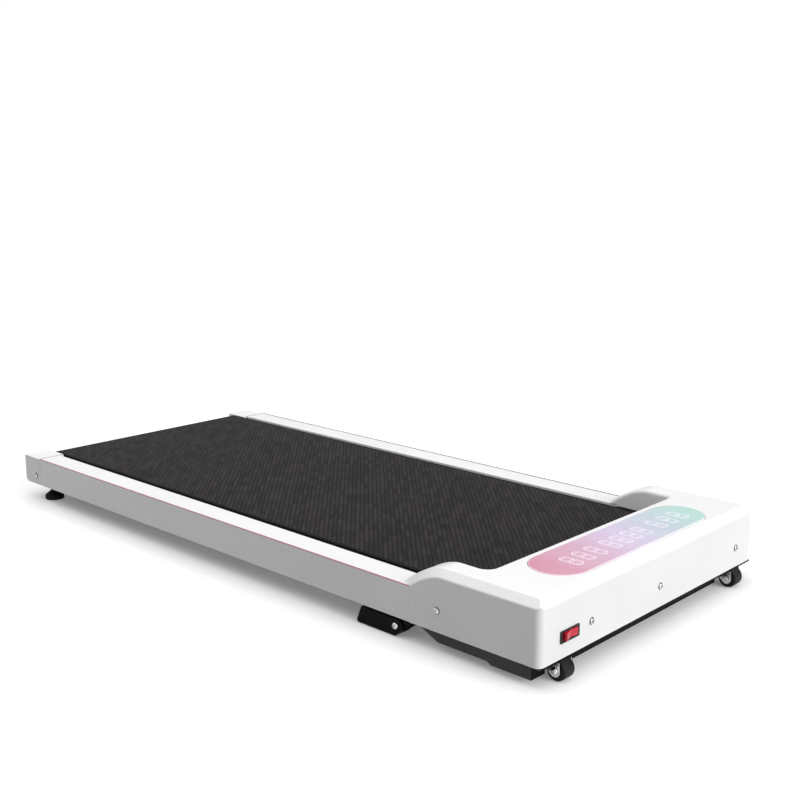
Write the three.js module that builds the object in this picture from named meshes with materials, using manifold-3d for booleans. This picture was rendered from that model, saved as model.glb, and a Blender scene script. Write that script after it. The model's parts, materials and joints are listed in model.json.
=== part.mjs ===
// Under-desk walking pad: a flat treadmill with its motor in the low white cover at the -Y end.
// Millimetres, +Z up, floor at z = 0. The walker stands on the belt and faces -Y.
import * as THREE from "three";
import { mergeVertices } from "three/addons/utils/BufferGeometryUtils.js";
import Module from "manifold-3d";

const wasm = await Module();
wasm.setup();

// ---- driving dimensions ----
const GAP = 0.3; // air left between touching pieces
const HALF_WIDTH = 250; // over the side rails and the motor cover
const LENGTH = 1120; // front face of the cover to the back of the end caps
const FRONT_Y = -555.8;
const REAR_Y = FRONT_Y + LENGTH;
const GROUND = 28; // floor to the underside of the rails and the cover
const RAIL_TOP = 75;
const COVER_TOP = 108;

const RAIL_INNER_X = 210.5;
const RAIL_WALL = 2.5;
const ACCENT_REBATE = 0.9; // step along the rail's outer top edge for the coloured line
const RAIL_FRONT_Y = -357.5;
const CAP_SEAM_Y = 514.4;
const CAP_SEAM = 0.9; // width of the seam between a rail and its end cap
const CAP_INNER_X = 202.8; // the caps reach in beside the belt, over the roller's ends

const TUBE = { x0: 214, x1: 244, z0: 31, z1: 69, y0: -545, y1: 556, wall: 2 };
const CROSS_TUBE = { ys: [-395, 30, 455], depth: 30, z0: 36.5, z1: 52.5, wall: 2 };
const DECK = { x: 208, y0: -440, y1: 506, z0: 57.6, z1: 72.1 };
const CUSHION = { x: 170, radius: 14 };

const BELT_HALF_WIDTH = 202;
const BELT_THICK = 1.6;
const BELT_TOP = 74;
const ROLLER_R = 19;
const ROLLER_HALF = 201;
const AXLE_R = 6;
const FRONT_ROLLER_Y = -466;
const REAR_ROLLER_Y = 543;
const BELT_OUTER_R = ROLLER_R + GAP + BELT_THICK;
const ROLLER_Z = BELT_TOP - BELT_OUTER_R;
const ADJUSTER_X = 228;

const COVER_WALL = 2.5;
const COVER_CHAMFER = 10;
const COVER_CORNER_R = 9;
const WING_INNER_X = 209;
const WING_SKIRT_Z = 73.2; // lower edge of the wings' inner walls
const COVER_REAR_Y = -451; // rear edge of the cover between its wings
const COVER_LIP_Z = 78; // lower edge of that rear wall, just above the belt
const COVER_ROUND = 6; // rounding along the inner top edges
const COVER_FILLET = 13; // plan fillet where a wing meets the rear edge
const NOSE_START_Y = -410;
const NOSE_BEND_Y = -382;
const NOSE_END_Y = -339.8;
const NOSE_END_Z = 74;

const DISPLAY = { y: -499, halfLength: 174, halfWidth: 38.6, proud: 0.6 };
const SCREW_Z = 56;
const SCREW_HOLE_R = 2.8;
const SCREW_HEAD = { radius: 4.6, height: 2.2 };
const FRONT_SCREW_XS = [-149, 4, 203];
const SIDE_SCREW_Y = -402.8;
const CAP_SCREW = { y: 529.3, z: 43.7 };
const SWITCH = { x: -194, z: 54.6, halfX: 18.5, halfZ: 7.7, tilt: 7 };
const INLET = { y: -520, z: 84 };

const MOTOR = { y: -518.5, z: 63, radius: 29, x0: 52, x1: 190, boreR: 4.3, shaftR: 4 };
const PULLEY_X = 208.6;
const PULLEY_HALF = 4;
const ROLLER_PULLEY_R = 20.6;
const MOTOR_PULLEY_R = 7.4;
const DRIVE_BELT_THICK = 2.2;

const PAN = { z: 9, stepZ: 12.7, y0: -541.2, stepY: -480, slopeY: -401, y1: -371, top: 27.7, wall: 2.5 };
const PAN_LIP = { y: -555.4, z: 25 }; // flange under the cover's front edge, over the wheel forks
const CASTER = { x: 202, y: -550.8, radius: 13.4, halfWidth: 10, forkHalf: 12.4, plate: 1.4 };
// Folded, a leg lies along +Y from its hinge: length along the bottom, topLength along the top.
const LEG = {
  x: 234.5, y: -332.5, z: 15.2, halfWidth: 13, plate: 3,
  front: 12.2, bottom: 14.2, top: 9.6, topLength: 61, length: 70.5,
};
const FOOT = { x: 225, y: 515.2, radius: 16 };

// ---- materials ----
const material = (color, roughness, metalness) =>
  new THREE.MeshStandardMaterial({ color, roughness, metalness });
const WHITE = material(0xf4f3f3, 0.32, 0);
const BLACK_PLASTIC = material(0x2c2c2e, 0.6, 0);
const BLACK_PAINT = material(0x161616, 0.38, 0.1);
const BELT_RUBBER = material(0x332f31, 0.85, 0);
const SOFT_RUBBER = material(0x1b1b1c, 0.8, 0);
const BLACK_LAMINATE = material(0x232122, 0.55, 0);
const STEEL = material(0xb9bbbe, 0.3, 0.9);
const FRAME_PAINT = material(0x2f3133, 0.5, 0.2);
const ALUMINIUM = material(0xc6c8ca, 0.35, 0.9);
const BOARD = material(0x1f5a38, 0.5, 0);
const LENS = material(0xcdb9d6, 0.12, 0);
const RED = material(0xc8182b, 0.25, 0);
const MOTOR_PAINT = material(0x3b3d40, 0.45, 0.3);

// ---- solids ----
function solid(geometry) {
  const bare = geometry.index ? geometry.toNonIndexed() : geometry.clone();
  bare.deleteAttribute("normal");
  bare.deleteAttribute("uv");
  const merged = mergeVertices(bare, 1e-4);
  const triVerts = new Uint32Array(merged.index.array);
  const vertProperties = merged.attributes.position.array;
  const made = new wasm.Manifold(new wasm.Mesh({ numProp: 3, vertProperties, triVerts }));
  if (made.volume() > 0) return made;
  for (let i = 0; i < triVerts.length; i += 3) {
    [triVerts[i + 1], triVerts[i + 2]] = [triVerts[i + 2], triVerts[i + 1]];
  }
  return new wasm.Manifold(new wasm.Mesh({ numProp: 3, vertProperties, triVerts }));
}

function geometryOf(manifold) {
  const mesh = manifold.getMesh();
  const geometry = new THREE.BufferGeometry();
  geometry.setAttribute("position", new THREE.BufferAttribute(mesh.vertProperties, mesh.numProp));
  geometry.setIndex(new THREE.BufferAttribute(mesh.triVerts, 1));
  return geometry;
}

const join = (pieces) => pieces.reduce((whole, piece) => whole.add(piece));
const cut = (body, tools) => tools.reduce((left, tool) => left.subtract(tool), body);

function box(x0, x1, y0, y1, z0, z1) {
  const geometry = new THREE.BoxGeometry(x1 - x0, y1 - y0, z1 - z0);
  geometry.translate((x0 + x1) / 2, (y0 + y1) / 2, (z0 + z1) / 2);
  return solid(geometry);
}

// Lathe profiles are [radius, distance along the axis] pairs.
const AXIS_TURN = {
  x: (geometry) => geometry.rotateZ(-Math.PI / 2),
  y: (geometry) => geometry,
  z: (geometry) => geometry.rotateX(Math.PI / 2),
};

function turned(profile, axis, centre = [0, 0, 0], segments = 20) {
  const points = profile.map(([r, h]) => new THREE.Vector2(r, h));
  const geometry = AXIS_TURN[axis](new THREE.LatheGeometry(points, segments));
  geometry.translate(...centre);
  return solid(geometry);
}

function rod(radius, from, to, axis, centre, segments = 16) {
  return turned([[0, from], [radius, from], [radius, to], [0, to]], axis, centre, segments);
}

function sleeve(inner, outer, from, to, axis, centre, segments = 16) {
  const profile = [[inner, from], [outer, from], [outer, to], [inner, to], [inner, from]];
  return turned(profile, axis, centre, segments);
}

function outline(points) {
  return points instanceof THREE.Shape
    ? points
    : new THREE.Shape(points.map(([u, v]) => new THREE.Vector2(u, v)));
}

function extruded(shape, depth, bevel = {}) {
  const options = { depth, steps: 1, curveSegments: 5, bevelEnabled: false, ...bevel };
  return new THREE.ExtrudeGeometry(outline(shape), options);
}

const basis = (u, v, w) => new THREE.Matrix4().makeBasis(...[u, v, w].map((a) => new THREE.Vector3(...a)));
const TO_X = basis([0, 1, 0], [0, 0, 1], [1, 0, 0]);
const TO_Y = basis([1, 0, 0], [0, 0, 1], [0, -1, 0]);

// A (y, z) outline pushed along X, an (x, z) outline along Y, an (x, y) outline along Z.
function prismX(shape, x0, x1) {
  return solid(extruded(shape, x1 - x0).applyMatrix4(TO_X).translate(x0, 0, 0));
}

function prismY(shape, y0, y1) {
  return solid(extruded(shape, y1 - y0).applyMatrix4(TO_Y).translate(0, y1, 0));
}

function prismZ(shape, z0, z1, options) {
  return solid(extruded(shape, z1 - z0, options).translate(0, 0, z0));
}

function bevelOf(size, bevelSegments) {
  return { bevelEnabled: true, bevelThickness: size, bevelSize: size, bevelOffset: -size, bevelSegments };
}

// As prismX, with both ends cut back by a bevel of the given size: one segment is a chamfer.
function bevelledX(shape, x0, x1, size, bevelSegments) {
  const bevel = bevelOf(size, bevelSegments);
  const geometry = extruded(shape, x1 - x0 - 2 * size, bevel);
  return solid(geometry.applyMatrix4(TO_X).translate(x0 + size, 0, 0));
}

const ROUND_END = { curveSegments: 11 };

function stadium(halfLength, halfWidth) {
  const flat = halfLength - halfWidth;
  const shape = new THREE.Shape();
  shape.moveTo(-flat, -halfWidth);
  shape.lineTo(flat, -halfWidth);
  shape.absarc(flat, 0, halfWidth, -Math.PI / 2, Math.PI / 2, false);
  shape.lineTo(-flat, halfWidth);
  shape.absarc(-flat, 0, halfWidth, Math.PI / 2, (3 * Math.PI) / 2, false);
  return shape;
}

function hexagon(radius) {
  const angles = Array.from({ length: 6 }, (_, i) => (i * Math.PI) / 3);
  return angles.map((angle) => [radius * Math.cos(angle), radius * Math.sin(angle)]);
}

function rectangle(x0, x1, y0, y1) {
  return [[x0, y0], [x1, y0], [x1, y1], [x0, y1]];
}

// Points of a loop round two circles in the (y, z) plane, each circle being [y, z, radius].
function loopRound([y1, z1, r1], [y2, z2, r2], steps) {
  const heading = Math.atan2(z2 - z1, y2 - y1);
  const spread = Math.acos((r1 - r2) / Math.hypot(y2 - y1, z2 - z1));
  const arc = (y, z, r, from, to) =>
    Array.from({ length: steps + 1 }, (_, i) => {
      const angle = from + ((to - from) * i) / steps;
      return [y + r * Math.cos(angle), z + r * Math.sin(angle)];
    });
  return [
    ...arc(y1, z1, r1, heading + spread, heading + 2 * Math.PI - spread),
    ...arc(y2, z2, r2, heading - spread, heading + spread),
  ];
}

// ---- scene graph ----
const pad = new THREE.Group();

function place(name, body, mat, parent = pad) {
  const mesh = new THREE.Mesh(geometryOf(body), mat);
  mesh.name = name;
  parent.add(mesh);
}

function groupAt(x, y, z, parent = pad) {
  const group = new THREE.Group();
  group.position.set(x, y, z);
  parent.add(group);
  return group;
}

// The right-hand pieces are made at +X; the left-hand group mirrors them.
const SIDES = ["left", "right"].map((name, i) => {
  const group = groupAt(0, 0, 0);
  group.scale.x = i === 0 ? -1 : 1;
  return { name, group };
});

// ---- steel frame ----
function frameRail() {
  const { x0, x1, z0, z1, y0, y1, wall } = TUBE;
  const tube = prismY(rectangle(x0, x1, z0, z1), y0, y1);
  const bore = prismY(rectangle(x0 + wall, x1 - wall, z0 + wall, z1 - wall), y0 - 1, y1 + 1);
  return cut(tube, [
    bore,
    rod(AXLE_R + GAP, x0 - 1, x0 + wall + 1, "x", [0, FRONT_ROLLER_Y, ROLLER_Z]),
    box(x0 - 1, x0 + wall + 1, REAR_ROLLER_Y - 9, REAR_ROLLER_Y + 9, ROLLER_Z - 6.3, ROLLER_Z + 6.3),
    rod(4.4, z0 - 1, z0 + wall + 1, "z", [FOOT.x, FOOT.y, 0]),
    rod(SCREW_HOLE_R, x1 - wall - 1, x1 + 1, "x", [0, SIDE_SCREW_Y, SCREW_Z], 12),
    rod(SCREW_HOLE_R, x1 - wall - 1, x1 + 1, "x", [0, CAP_SCREW.y, CAP_SCREW.z], 12),
  ]);
}

function crossTube() {
  const { depth, z0, z1, wall } = CROSS_TUBE;
  const half = TUBE.x0 - GAP;
  const tube = prismX(rectangle(-depth / 2, depth / 2, z0, z1), -half, half);
  const inside = rectangle(wall - depth / 2, depth / 2 - wall, z0 + wall, z1 - wall);
  return cut(tube, [prismX(inside, -half - 1, half + 1)]);
}

function frontPlate() {
  const profile = [[-551.5, 28.4], [-490, 28.4], [-490, 30.7], [-549.3, 30.7], [-549.3, 64], [-551.5, 64]];
  const holes = FRONT_SCREW_XS.map((x) => rod(SCREW_HOLE_R, -553, -548, "y", [x, 0, SCREW_Z], 12));
  const switchGap = box(SWITCH.x - 18, SWITCH.x + 18, -553, -548, 43, 70);
  return cut(prismX(profile, -240, 240), [...holes, switchGap]);
}

for (const { name, group } of SIDES) place(`frame_rail_${name}`, frameRail(), FRAME_PAINT, group);
["front", "middle", "rear"].forEach((name, i) => {
  place(`deck_crossmember_${name}`, crossTube(), FRAME_PAINT, groupAt(0, CROSS_TUBE.ys[i], 0));
});
place("front_mounting_plate", frontPlate(), FRAME_PAINT);

// ---- deck and its rubber cushions ----
function deck() {
  const { x, y0, y1, z0, z1 } = DECK;
  const ease = 4;
  const profile = [[y0, z0], [y1, z0], [y1, z1 - ease], [y1 - ease, z1], [y0 + ease, z1], [y0, z1 - ease]];
  return prismX(profile, -x, x);
}

place("running_deck", deck(), BLACK_LAMINATE);
for (const { name, group } of SIDES) {
  ["front", "rear"].forEach((end, i) => {
    const profile = [[0, 0], [CUSHION.radius, 0], [CUSHION.radius - 2, 4.5], [0, 4.5]];
    const cushion = turned(profile, "z");
    const spot = groupAt(CUSHION.x, CROSS_TUBE.ys[2 * i], CROSS_TUBE.z1 + GAP, group);
    place(`deck_cushion_${end}_${name}`, cushion, SOFT_RUBBER, spot);
  });
}

// ---- running belt, rollers and axles ----
function runningBelt() {
  const ends = (r) => [[FRONT_ROLLER_Y, ROLLER_Z, r], [REAR_ROLLER_Y, ROLLER_Z, r]];
  const loop = (r, reach) => prismX(loopRound(...ends(r), 20), -reach, reach);
  return cut(loop(BELT_OUTER_R, BELT_HALF_WIDTH), [loop(ROLLER_R + GAP, BELT_HALF_WIDTH + 1)]);
}

function roller() {
  const bore = AXLE_R + GAP;
  const end = ROLLER_HALF;
  const profile = [
    [bore, -end], [ROLLER_R - 0.4, -end], [ROLLER_R, -60], [ROLLER_R, 60],
    [ROLLER_R - 0.4, end], [bore, end], [bore, -end],
  ];
  return turned(profile, "x", [0, 0, 0], 24);
}

function axle(half) {
  return rod(AXLE_R, -half, half, "x");
}

function pulley(grooveR, flangeR, boreR) {
  const w = PULLEY_HALF;
  const profile = [
    [boreR, -w], [flangeR, -w], [flangeR, 1 - w], [grooveR, 1.2 - w],
    [grooveR, w - 1.2], [flangeR, w - 1], [flangeR, w], [boreR, w], [boreR, -w],
  ];
  return turned(profile, "x", [PULLEY_X, 0, 0]);
}

place("running_belt", runningBelt(), BELT_RUBBER);
const frontRoller = groupAt(0, FRONT_ROLLER_Y, ROLLER_Z);
place("front_roller", roller(), STEEL, frontRoller);
place("front_roller_axle", axle(222), STEEL, frontRoller);
place("roller_pulley", pulley(ROLLER_PULLEY_R, 23, AXLE_R + GAP), BLACK_PLASTIC, frontRoller);
const rearRoller = groupAt(0, REAR_ROLLER_Y, ROLLER_Z);
place("rear_roller", roller(), STEEL, rearRoller);
const adjusterHoles = [-1, 1].map((side) => rod(3.4, -9, 9, "y", [side * ADJUSTER_X, 0, 0], 12));
place("rear_roller_axle", cut(axle(236), adjusterHoles), STEEL, rearRoller);

for (const { name, group } of SIDES) {
  const bolt = turned([[0, 0], [3, 0], [3, 23], [5, 23], [5, 30], [0, 30]], "y", [0, 0, 0], 12);
  const socket = prismY(hexagon(2.3), 26, 31);
  const spot = groupAt(ADJUSTER_X, 533, ROLLER_Z, group);
  place(`belt_adjuster_${name}`, cut(bolt, [socket]), STEEL, spot);
}

// ---- white side rails and end caps ----
function sideRail() {
  const x0 = RAIL_INNER_X;
  const x1 = HALF_WIDTH;
  const step = ACCENT_REBATE;
  const profile = [
    [x1 - RAIL_WALL, GROUND], [x1, GROUND], [x1, RAIL_TOP - step], [x1 - step, RAIL_TOP - step],
    [x1 - step, RAIL_TOP], [x0 + 1, RAIL_TOP], [x0 + 0.3, RAIL_TOP - 0.3], [x0, RAIL_TOP - 1],
    [x0, 53], [x0 + RAIL_WALL, 53], [x0 + RAIL_WALL, RAIL_TOP - RAIL_WALL],
    [x1 - RAIL_WALL, RAIL_TOP - RAIL_WALL],
  ];
  return prismY(profile, RAIL_FRONT_Y, CAP_SEAM_Y);
}

function endCap() {
  const x0 = CAP_INNER_X;
  const y0 = CAP_SEAM_Y + CAP_SEAM;
  const t = RAIL_WALL;
  const chamfer = 4;
  const outside = [
    [y0, GROUND], [REAR_Y - chamfer, GROUND], [REAR_Y, GROUND + chamfer], [REAR_Y, RAIL_TOP], [y0, RAIL_TOP],
  ];
  const shell = prismX(outside, x0, HALF_WIDTH);
  const inside = [
    [y0 - 5, 20], [552, 20], [552, 30.5], [REAR_Y - 4.6, 30.5], [REAR_Y - t, 32.6],
    [REAR_Y - t, RAIL_TOP - t], [y0 - 5, RAIL_TOP - t],
  ];
  const hollow = prismX(inside, x0 + t, HALF_WIDTH - t);
  return cut(shell, [
    hollow,
    box(x0 - 1, x0 + t + 1, y0 - 5, REAR_ROLLER_Y + 7.5, 20, 60.4),
    rod(6, REAR_Y - 4, REAR_Y + 1, "y", [ADJUSTER_X, 0, ROLLER_Z]),
    rod(SCREW_HOLE_R, HALF_WIDTH - t - 1, HALF_WIDTH + 1, "x", [0, CAP_SCREW.y, CAP_SCREW.z], 12),
  ]);
}

// Pan-head screw with a cross recess; its head sits on +axis at zero and its shank runs back.
function screw(length) {
  const { radius: r, height: h } = SCREW_HEAD;
  const profile = [[0, -length], [2.4, -length], [2.4, GAP], [r, GAP], [r - 0.4, h - 0.7], [r - 1.4, h], [0, h]];
  const recess = [box(-2.7, 2.7, -0.5, 0.5, 1, 3), box(-0.5, 0.5, -2.7, 2.7, 1, 3)];
  return cut(turned(profile, "z", [0, 0, 0], 12), recess);
}

function placeScrew(name, length, at, turn, parent = pad) {
  const spot = groupAt(...at, parent);
  spot.rotation.set(...turn);
  place(name, screw(length), STEEL, spot);
}

const FACE_X = [0, Math.PI / 2, 0];
const FACE_MINUS_Y = [Math.PI / 2, 0, 0];
for (const { name, group } of SIDES) {
  place(`side_rail_${name}`, sideRail(), WHITE, group);
  place(`end_cap_${name}`, endCap(), WHITE, group);
  placeScrew(`end_cap_screw_${name}`, 9, [HALF_WIDTH, CAP_SCREW.y, CAP_SCREW.z], FACE_X, group);
  placeScrew(`side_cover_screw_${name}`, 9, [HALF_WIDTH, SIDE_SCREW_Y, SCREW_Z], FACE_X, group);
}
["left", "middle", "right"].forEach((name, i) => {
  placeScrew(`front_cover_screw_${name}`, 9, [FRONT_SCREW_XS[i], FRONT_Y, SCREW_Z], FACE_MINUS_Y);
});

// ---- motor cover ----
// The whole block of the cover, shrunk by an inset, reaching below the floor.
function coverBlock(inset) {
  const top = COVER_TOP - inset;
  const chamfer = COVER_CHAMFER - inset * (2 - Math.SQRT2);
  const round = COVER_ROUND - inset;
  const half = HALF_WIDTH - inset;
  const front = FRONT_Y + inset;
  const beyond = 60;
  const below = -40;

  const nose = new THREE.Shape();
  nose.moveTo(front - beyond, below);
  nose.lineTo(NOSE_END_Y - 0.63 * inset, below);
  nose.lineTo(NOSE_END_Y - 0.63 * inset, NOSE_END_Z - 0.78 * inset);
  nose.quadraticCurveTo(NOSE_BEND_Y - 0.3 * inset, top, NOSE_START_Y, top);
  nose.lineTo(front - beyond, top);

  const plan = new THREE.Shape();
  const r = COVER_CORNER_R - inset;
  plan.moveTo(-half, NOSE_END_Y + beyond);
  plan.lineTo(-half, front + r);
  plan.absarc(r - half, front + r, r, Math.PI, 1.5 * Math.PI, false);
  plan.lineTo(half - r, front);
  plan.absarc(half - r, front + r, r, 1.5 * Math.PI, 2 * Math.PI, false);
  plan.lineTo(half, NOSE_END_Y + beyond);

  const side = [
    [front, below], [NOSE_END_Y + beyond, below], [NOSE_END_Y + beyond, top],
    [front + chamfer, top], [front, top - chamfer],
  ];

  const rear = COVER_REAR_Y - inset;
  const middle = new THREE.Shape();
  middle.moveTo(front - beyond, below);
  middle.lineTo(rear, below);
  middle.lineTo(rear, top - round);
  middle.absarc(rear - round, top - round, round, 0, Math.PI / 2, false);
  middle.lineTo(front - beyond, top);

  const wingX = WING_INNER_X + inset;
  const wings = [
    bevelledX(nose, wingX, half + beyond, round, 3),
    bevelledX(nose, -half - beyond, -wingX, round, 3),
  ];
  const corners = [-1, 1].map((sign) => planFillet(sign, inset, top, round, below));
  const layout = join([prismX(middle, -half - beyond, half + beyond), ...wings, ...corners]);
  return bevelledX(nose, -half, half, chamfer, 1)
    .intersect(prismZ(plan, below, top + 5))
    .intersect(prismX(side, -half - 5, half + 5))
    .intersect(layout);
}

// Fills the inner corner between a wing and the rear edge, out to a vertical arc with a rounded rim.
function planFillet(sign, inset, top, round, below) {
  const cx = WING_INNER_X - COVER_FILLET;
  const cy = COVER_REAR_Y + COVER_FILLET;
  const r = COVER_FILLET + inset;
  const rim = Array.from({ length: 4 }, (_, i) => {
    const angle = (i * Math.PI) / 6;
    return [r + round * (1 - Math.cos(angle)), top - round + round * Math.sin(angle)];
  });
  const profile = [[0, below - 1], [r, below - 1], ...rim, [r + round, top + 5], [0, top + 5]];
  const scoop = turned(profile, "z", [cx, cy, 0], 24);
  const reach = r + round + 1;
  const block = box(cx, cx + reach, cy - reach, cy, below, top).subtract(scoop);
  return sign < 0 ? block.mirror([1, 0, 0]) : block;
}

function motorCover() {
  const shell = coverBlock(0).subtract(coverBlock(COVER_WALL));
  const wide = HALF_WIDTH + 5;
  const window = prismZ(stadium(DISPLAY.halfLength + 0.5, DISPLAY.halfWidth + 0.5), 90, 120, ROUND_END);
  const sideHole = (from, to) => rod(SCREW_HOLE_R, from, to, "x", [0, SIDE_SCREW_Y, SCREW_Z], 12);
  return cut(shell, [
    box(-wide, wide, FRONT_Y - 10, NOSE_END_Y + 10, -50, GROUND),
    box(-wide, wide, RAIL_FRONT_Y - GAP, NOSE_END_Y + 10, -50, RAIL_TOP + GAP),
    box(-RAIL_INNER_X - 4, RAIL_INNER_X + 4, COVER_REAR_Y - 6, NOSE_END_Y + 10, -50, WING_SKIRT_Z),
    box(GAP - WING_INNER_X, WING_INNER_X - GAP, COVER_REAR_Y - 6, COVER_REAR_Y + 10, -50, COVER_LIP_Z),
    window.translate([0, DISPLAY.y, 0]),
    sideHole(-wide, 10 - HALF_WIDTH),
    sideHole(HALF_WIDTH - 10, wide),
    ...FRONT_SCREW_XS.map((x) => rod(SCREW_HOLE_R, FRONT_Y - 1, FRONT_Y + 4, "y", [x, 0, SCREW_Z], 12)),
    box(SWITCH.x - 17, SWITCH.x + 17, FRONT_Y - 1, FRONT_Y + 4, SWITCH.z - 6.7, SWITCH.z + 6.7),
    box(HALF_WIDTH - 4, wide, INLET.y - 13.7, INLET.y + 13.7, INLET.z - 10.2, INLET.z + 10.2),
  ]);
}

place("motor_cover", motorCover(), WHITE);

// ---- display under its lens ----
function lens() {
  const thick = 3;
  const ease = 0.8;
  const shape = stadium(DISPLAY.halfLength, DISPLAY.halfWidth);
  const plate = extruded(shape, thick - 2 * ease, { ...bevelOf(ease, 1), ...ROUND_END });
  return solid(plate.translate(0, 0, COVER_TOP + DISPLAY.proud - thick + ease));
}

function lensFrame() {
  const z1 = COVER_TOP - COVER_WALL - GAP;
  const outer = stadium(DISPLAY.halfLength + 3, DISPLAY.halfWidth + 3);
  const inner = stadium(DISPLAY.halfLength - 4, DISPLAY.halfWidth - 4);
  return prismZ(outer, z1 - 2, z1, ROUND_END).subtract(prismZ(inner, z1 - 3, z1 + 1, ROUND_END));
}

function displayBoard() {
  const plate = box(-150, 150, -26, 26, 97, 98.6);
  const modules = [-92, 0, 92].map((x, i) => {
    const half = i === 1 ? 42 : 32;
    return box(x - half, x + half, -12, 12, 98, 102.6);
  });
  return join([plate, ...modules]);
}

const display = groupAt(0, DISPLAY.y, 0);
place("display_lens", lens(), LENS, display);
place("display_lens_frame", lensFrame(), BLACK_PLASTIC, display);
place("display_board", displayBoard(), BOARD, display);

// ---- belly pan ----
// The pan's solid form, shrunk by an inset; the recesses round the front wheels grow by it.
function panForm(inset) {
  const floor = PAN.z + inset;
  const upper = PAN.stepZ + inset;
  const top = inset > 0 ? PAN.top + 10 : PAN.top;
  const side = [
    [PAN.y0 + inset, top], [PAN.y0 + inset, floor], [PAN.stepY - 3, floor], [PAN.stepY + 3, upper],
    [PAN.slopeY - inset / 3, upper], [PAN.y1 - inset * 2, PAN.top], [PAN.y1 - inset * 2, top],
  ];
  const wide = 247 - inset;
  const section = [
    [2 - wide, PAN.z], [wide - 2, PAN.z], [wide, PAN.top], [wide, top], [-wide, top], [-wide, PAN.top],
  ];
  const form = prismX(side, -260, 260).intersect(prismY(section, -560, -350));
  const recesses = [-1, 1].map((sign) => {
    const near = 176 - inset;
    const far = 219 + inset;
    const back = inset - 526;
    const recess = prismZ([[near, -560], [near, -534], [183, back], [far, back], [far, -560]], -5, 50);
    return sign < 0 ? recess.mirror([1, 0, 0]) : recess;
  });
  return cut(form, recesses);
}

function bellyPan() {
  const { y, z } = PAN_LIP;
  const roofs = [-1, 1].map((sign) => box(sign * 198 - 22, sign * 198 + 22, PAN.y0, -526, z, PAN.top));
  const wheelReach = CASTER.halfWidth + 1.5;
  const wheelGaps = [-1, 1].map((sign) => {
    const x = sign * CASTER.x;
    return box(x - wheelReach, x + wheelReach, y - 1, CASTER.y + 7.8, z - 1, PAN.top + 1);
  });
  const lip = cut(box(-247, 247, y, PAN.y0 + 1, z, PAN.top), wheelGaps);
  const vents = Array.from({ length: 9 }, (_, i) => {
    const x = (i - 4) * 14;
    return box(x - 2.5, x + 2.5, -530, -492, 0, 20);
  });
  return cut(join([panForm(0).subtract(panForm(PAN.wall)), lip, ...roofs]), vents);
}

place("belly_pan", bellyPan(), BLACK_PLASTIC);

// ---- motor, its pulley and the drive belt ----
function motorHousing() {
  const { x0, x1, radius, boreR } = MOTOR;
  const profile = [
    [boreR, x0], [12, x0], [14, x0 + 3], [radius - 3, x0 + 3], [radius, x0 + 13], [radius, x1 - 13],
    [radius - 3, x1], [10, x1], [10, x1 + 6], [boreR, x1 + 6], [boreR, x0],
  ];
  return turned(profile, "x");
}

function coolingFan() {
  const hub = sleeve(MOTOR.shaftR + GAP, 10, 34, 47, "x");
  const disc = sleeve(MOTOR.shaftR + GAP, 26, 34, 36.5, "x");
  const blades = Array.from({ length: 9 }, (_, i) => {
    const blade = box(35, 46, -0.9, 0.9, 8, 25);
    return blade.rotate([i * 40, 0, 0]);
  });
  return join([hub, disc, ...blades]);
}

function motorBracket() {
  const plate = prismX([[-28, -32], [28, -32], [28, 20], [18, 29], [-18, 29], [-28, 20]], 190.4, 193.4);
  const foot = box(150, 193.4, -28, 28, -32, -29.6);
  return cut(join([plate, foot]), [rod(10.6, 189, 195, "x")]);
}

const motor = groupAt(0, MOTOR.y, MOTOR.z);
place("drive_motor", motorHousing(), MOTOR_PAINT, motor);
place("motor_shaft", rod(MOTOR.shaftR, 30, 213, "x", [0, 0, 0]), STEEL, motor);
place("motor_pulley", pulley(MOTOR_PULLEY_R, 10, MOTOR.shaftR + GAP), STEEL, motor);
place("motor_fan", coolingFan(), BLACK_PLASTIC, motor);
place("motor_bracket", motorBracket(), FRAME_PAINT, motor);

function driveBelt() {
  const loop = (lift, half) =>
    prismX(
      loopRound(
        [FRONT_ROLLER_Y, ROLLER_Z, ROLLER_PULLEY_R + lift],
        [MOTOR.y, MOTOR.z, MOTOR_PULLEY_R + lift],
        12,
      ),
      PULLEY_X - half,
      PULLEY_X + half,
    );
  return cut(loop(GAP + DRIVE_BELT_THICK, 2.5), [loop(GAP, 4)]);
}

place("drive_belt", driveBelt(), SOFT_RUBBER);

// ---- control board and its heat sink ----
function controlBoard() {
  const posts = [-58, 58].flatMap((x) => [-18, 18].map((y) => rod(3, 31, 37, "z", [x, y, 0], 8)));
  const capacitors = [-38, -14].map((x) => rod(9, 37, 64, "z", [x, 6, 0]));
  return join([
    box(-65, 65, -24, 24, 36, 37.6),
    ...posts,
    ...capacitors,
    box(8, 26, -14, 4, 37, 53),
    box(40, 52, -20, 20, 37, 49),
  ]);
}

function heatSink() {
  const fins = Array.from({ length: 7 }, (_, i) => box(-22 + i * 7, -20.4 + i * 7, -24, 24, 33, 58));
  return join([box(-24, 24, -24, 24, 31, 34.5), ...fins]);
}

place("control_board", controlBoard(), BOARD, groupAt(-98, -519, 0));
place("control_heat_sink", heatSink(), ALUMINIUM, groupAt(-3, -519, 0));

// ---- power switch and inlet ----
const ROCKER_PIVOT_Y = FRONT_Y + 3.8;

function switchBody() {
  const { halfX, halfZ } = SWITCH;
  const flange = box(-halfX, halfX, FRONT_Y - 1.8, FRONT_Y - GAP, -halfZ, halfZ);
  const body = box(-16.5, 16.5, FRONT_Y - 1, FRONT_Y + 22, -6.3, 6.3);
  return join([flange, body]).subtract(box(-14.6, 14.6, FRONT_Y - 3, FRONT_Y + 14, -5.1, 5.1));
}

function rocker() {
  const profile = [[-13.5, -8.2], [0, -5.4], [13.5, -8.2], [13.5, -2], [8, 5], [-8, 5], [-13.5, -2]];
  return prismZ(profile, -4.7, 4.7);
}

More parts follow.
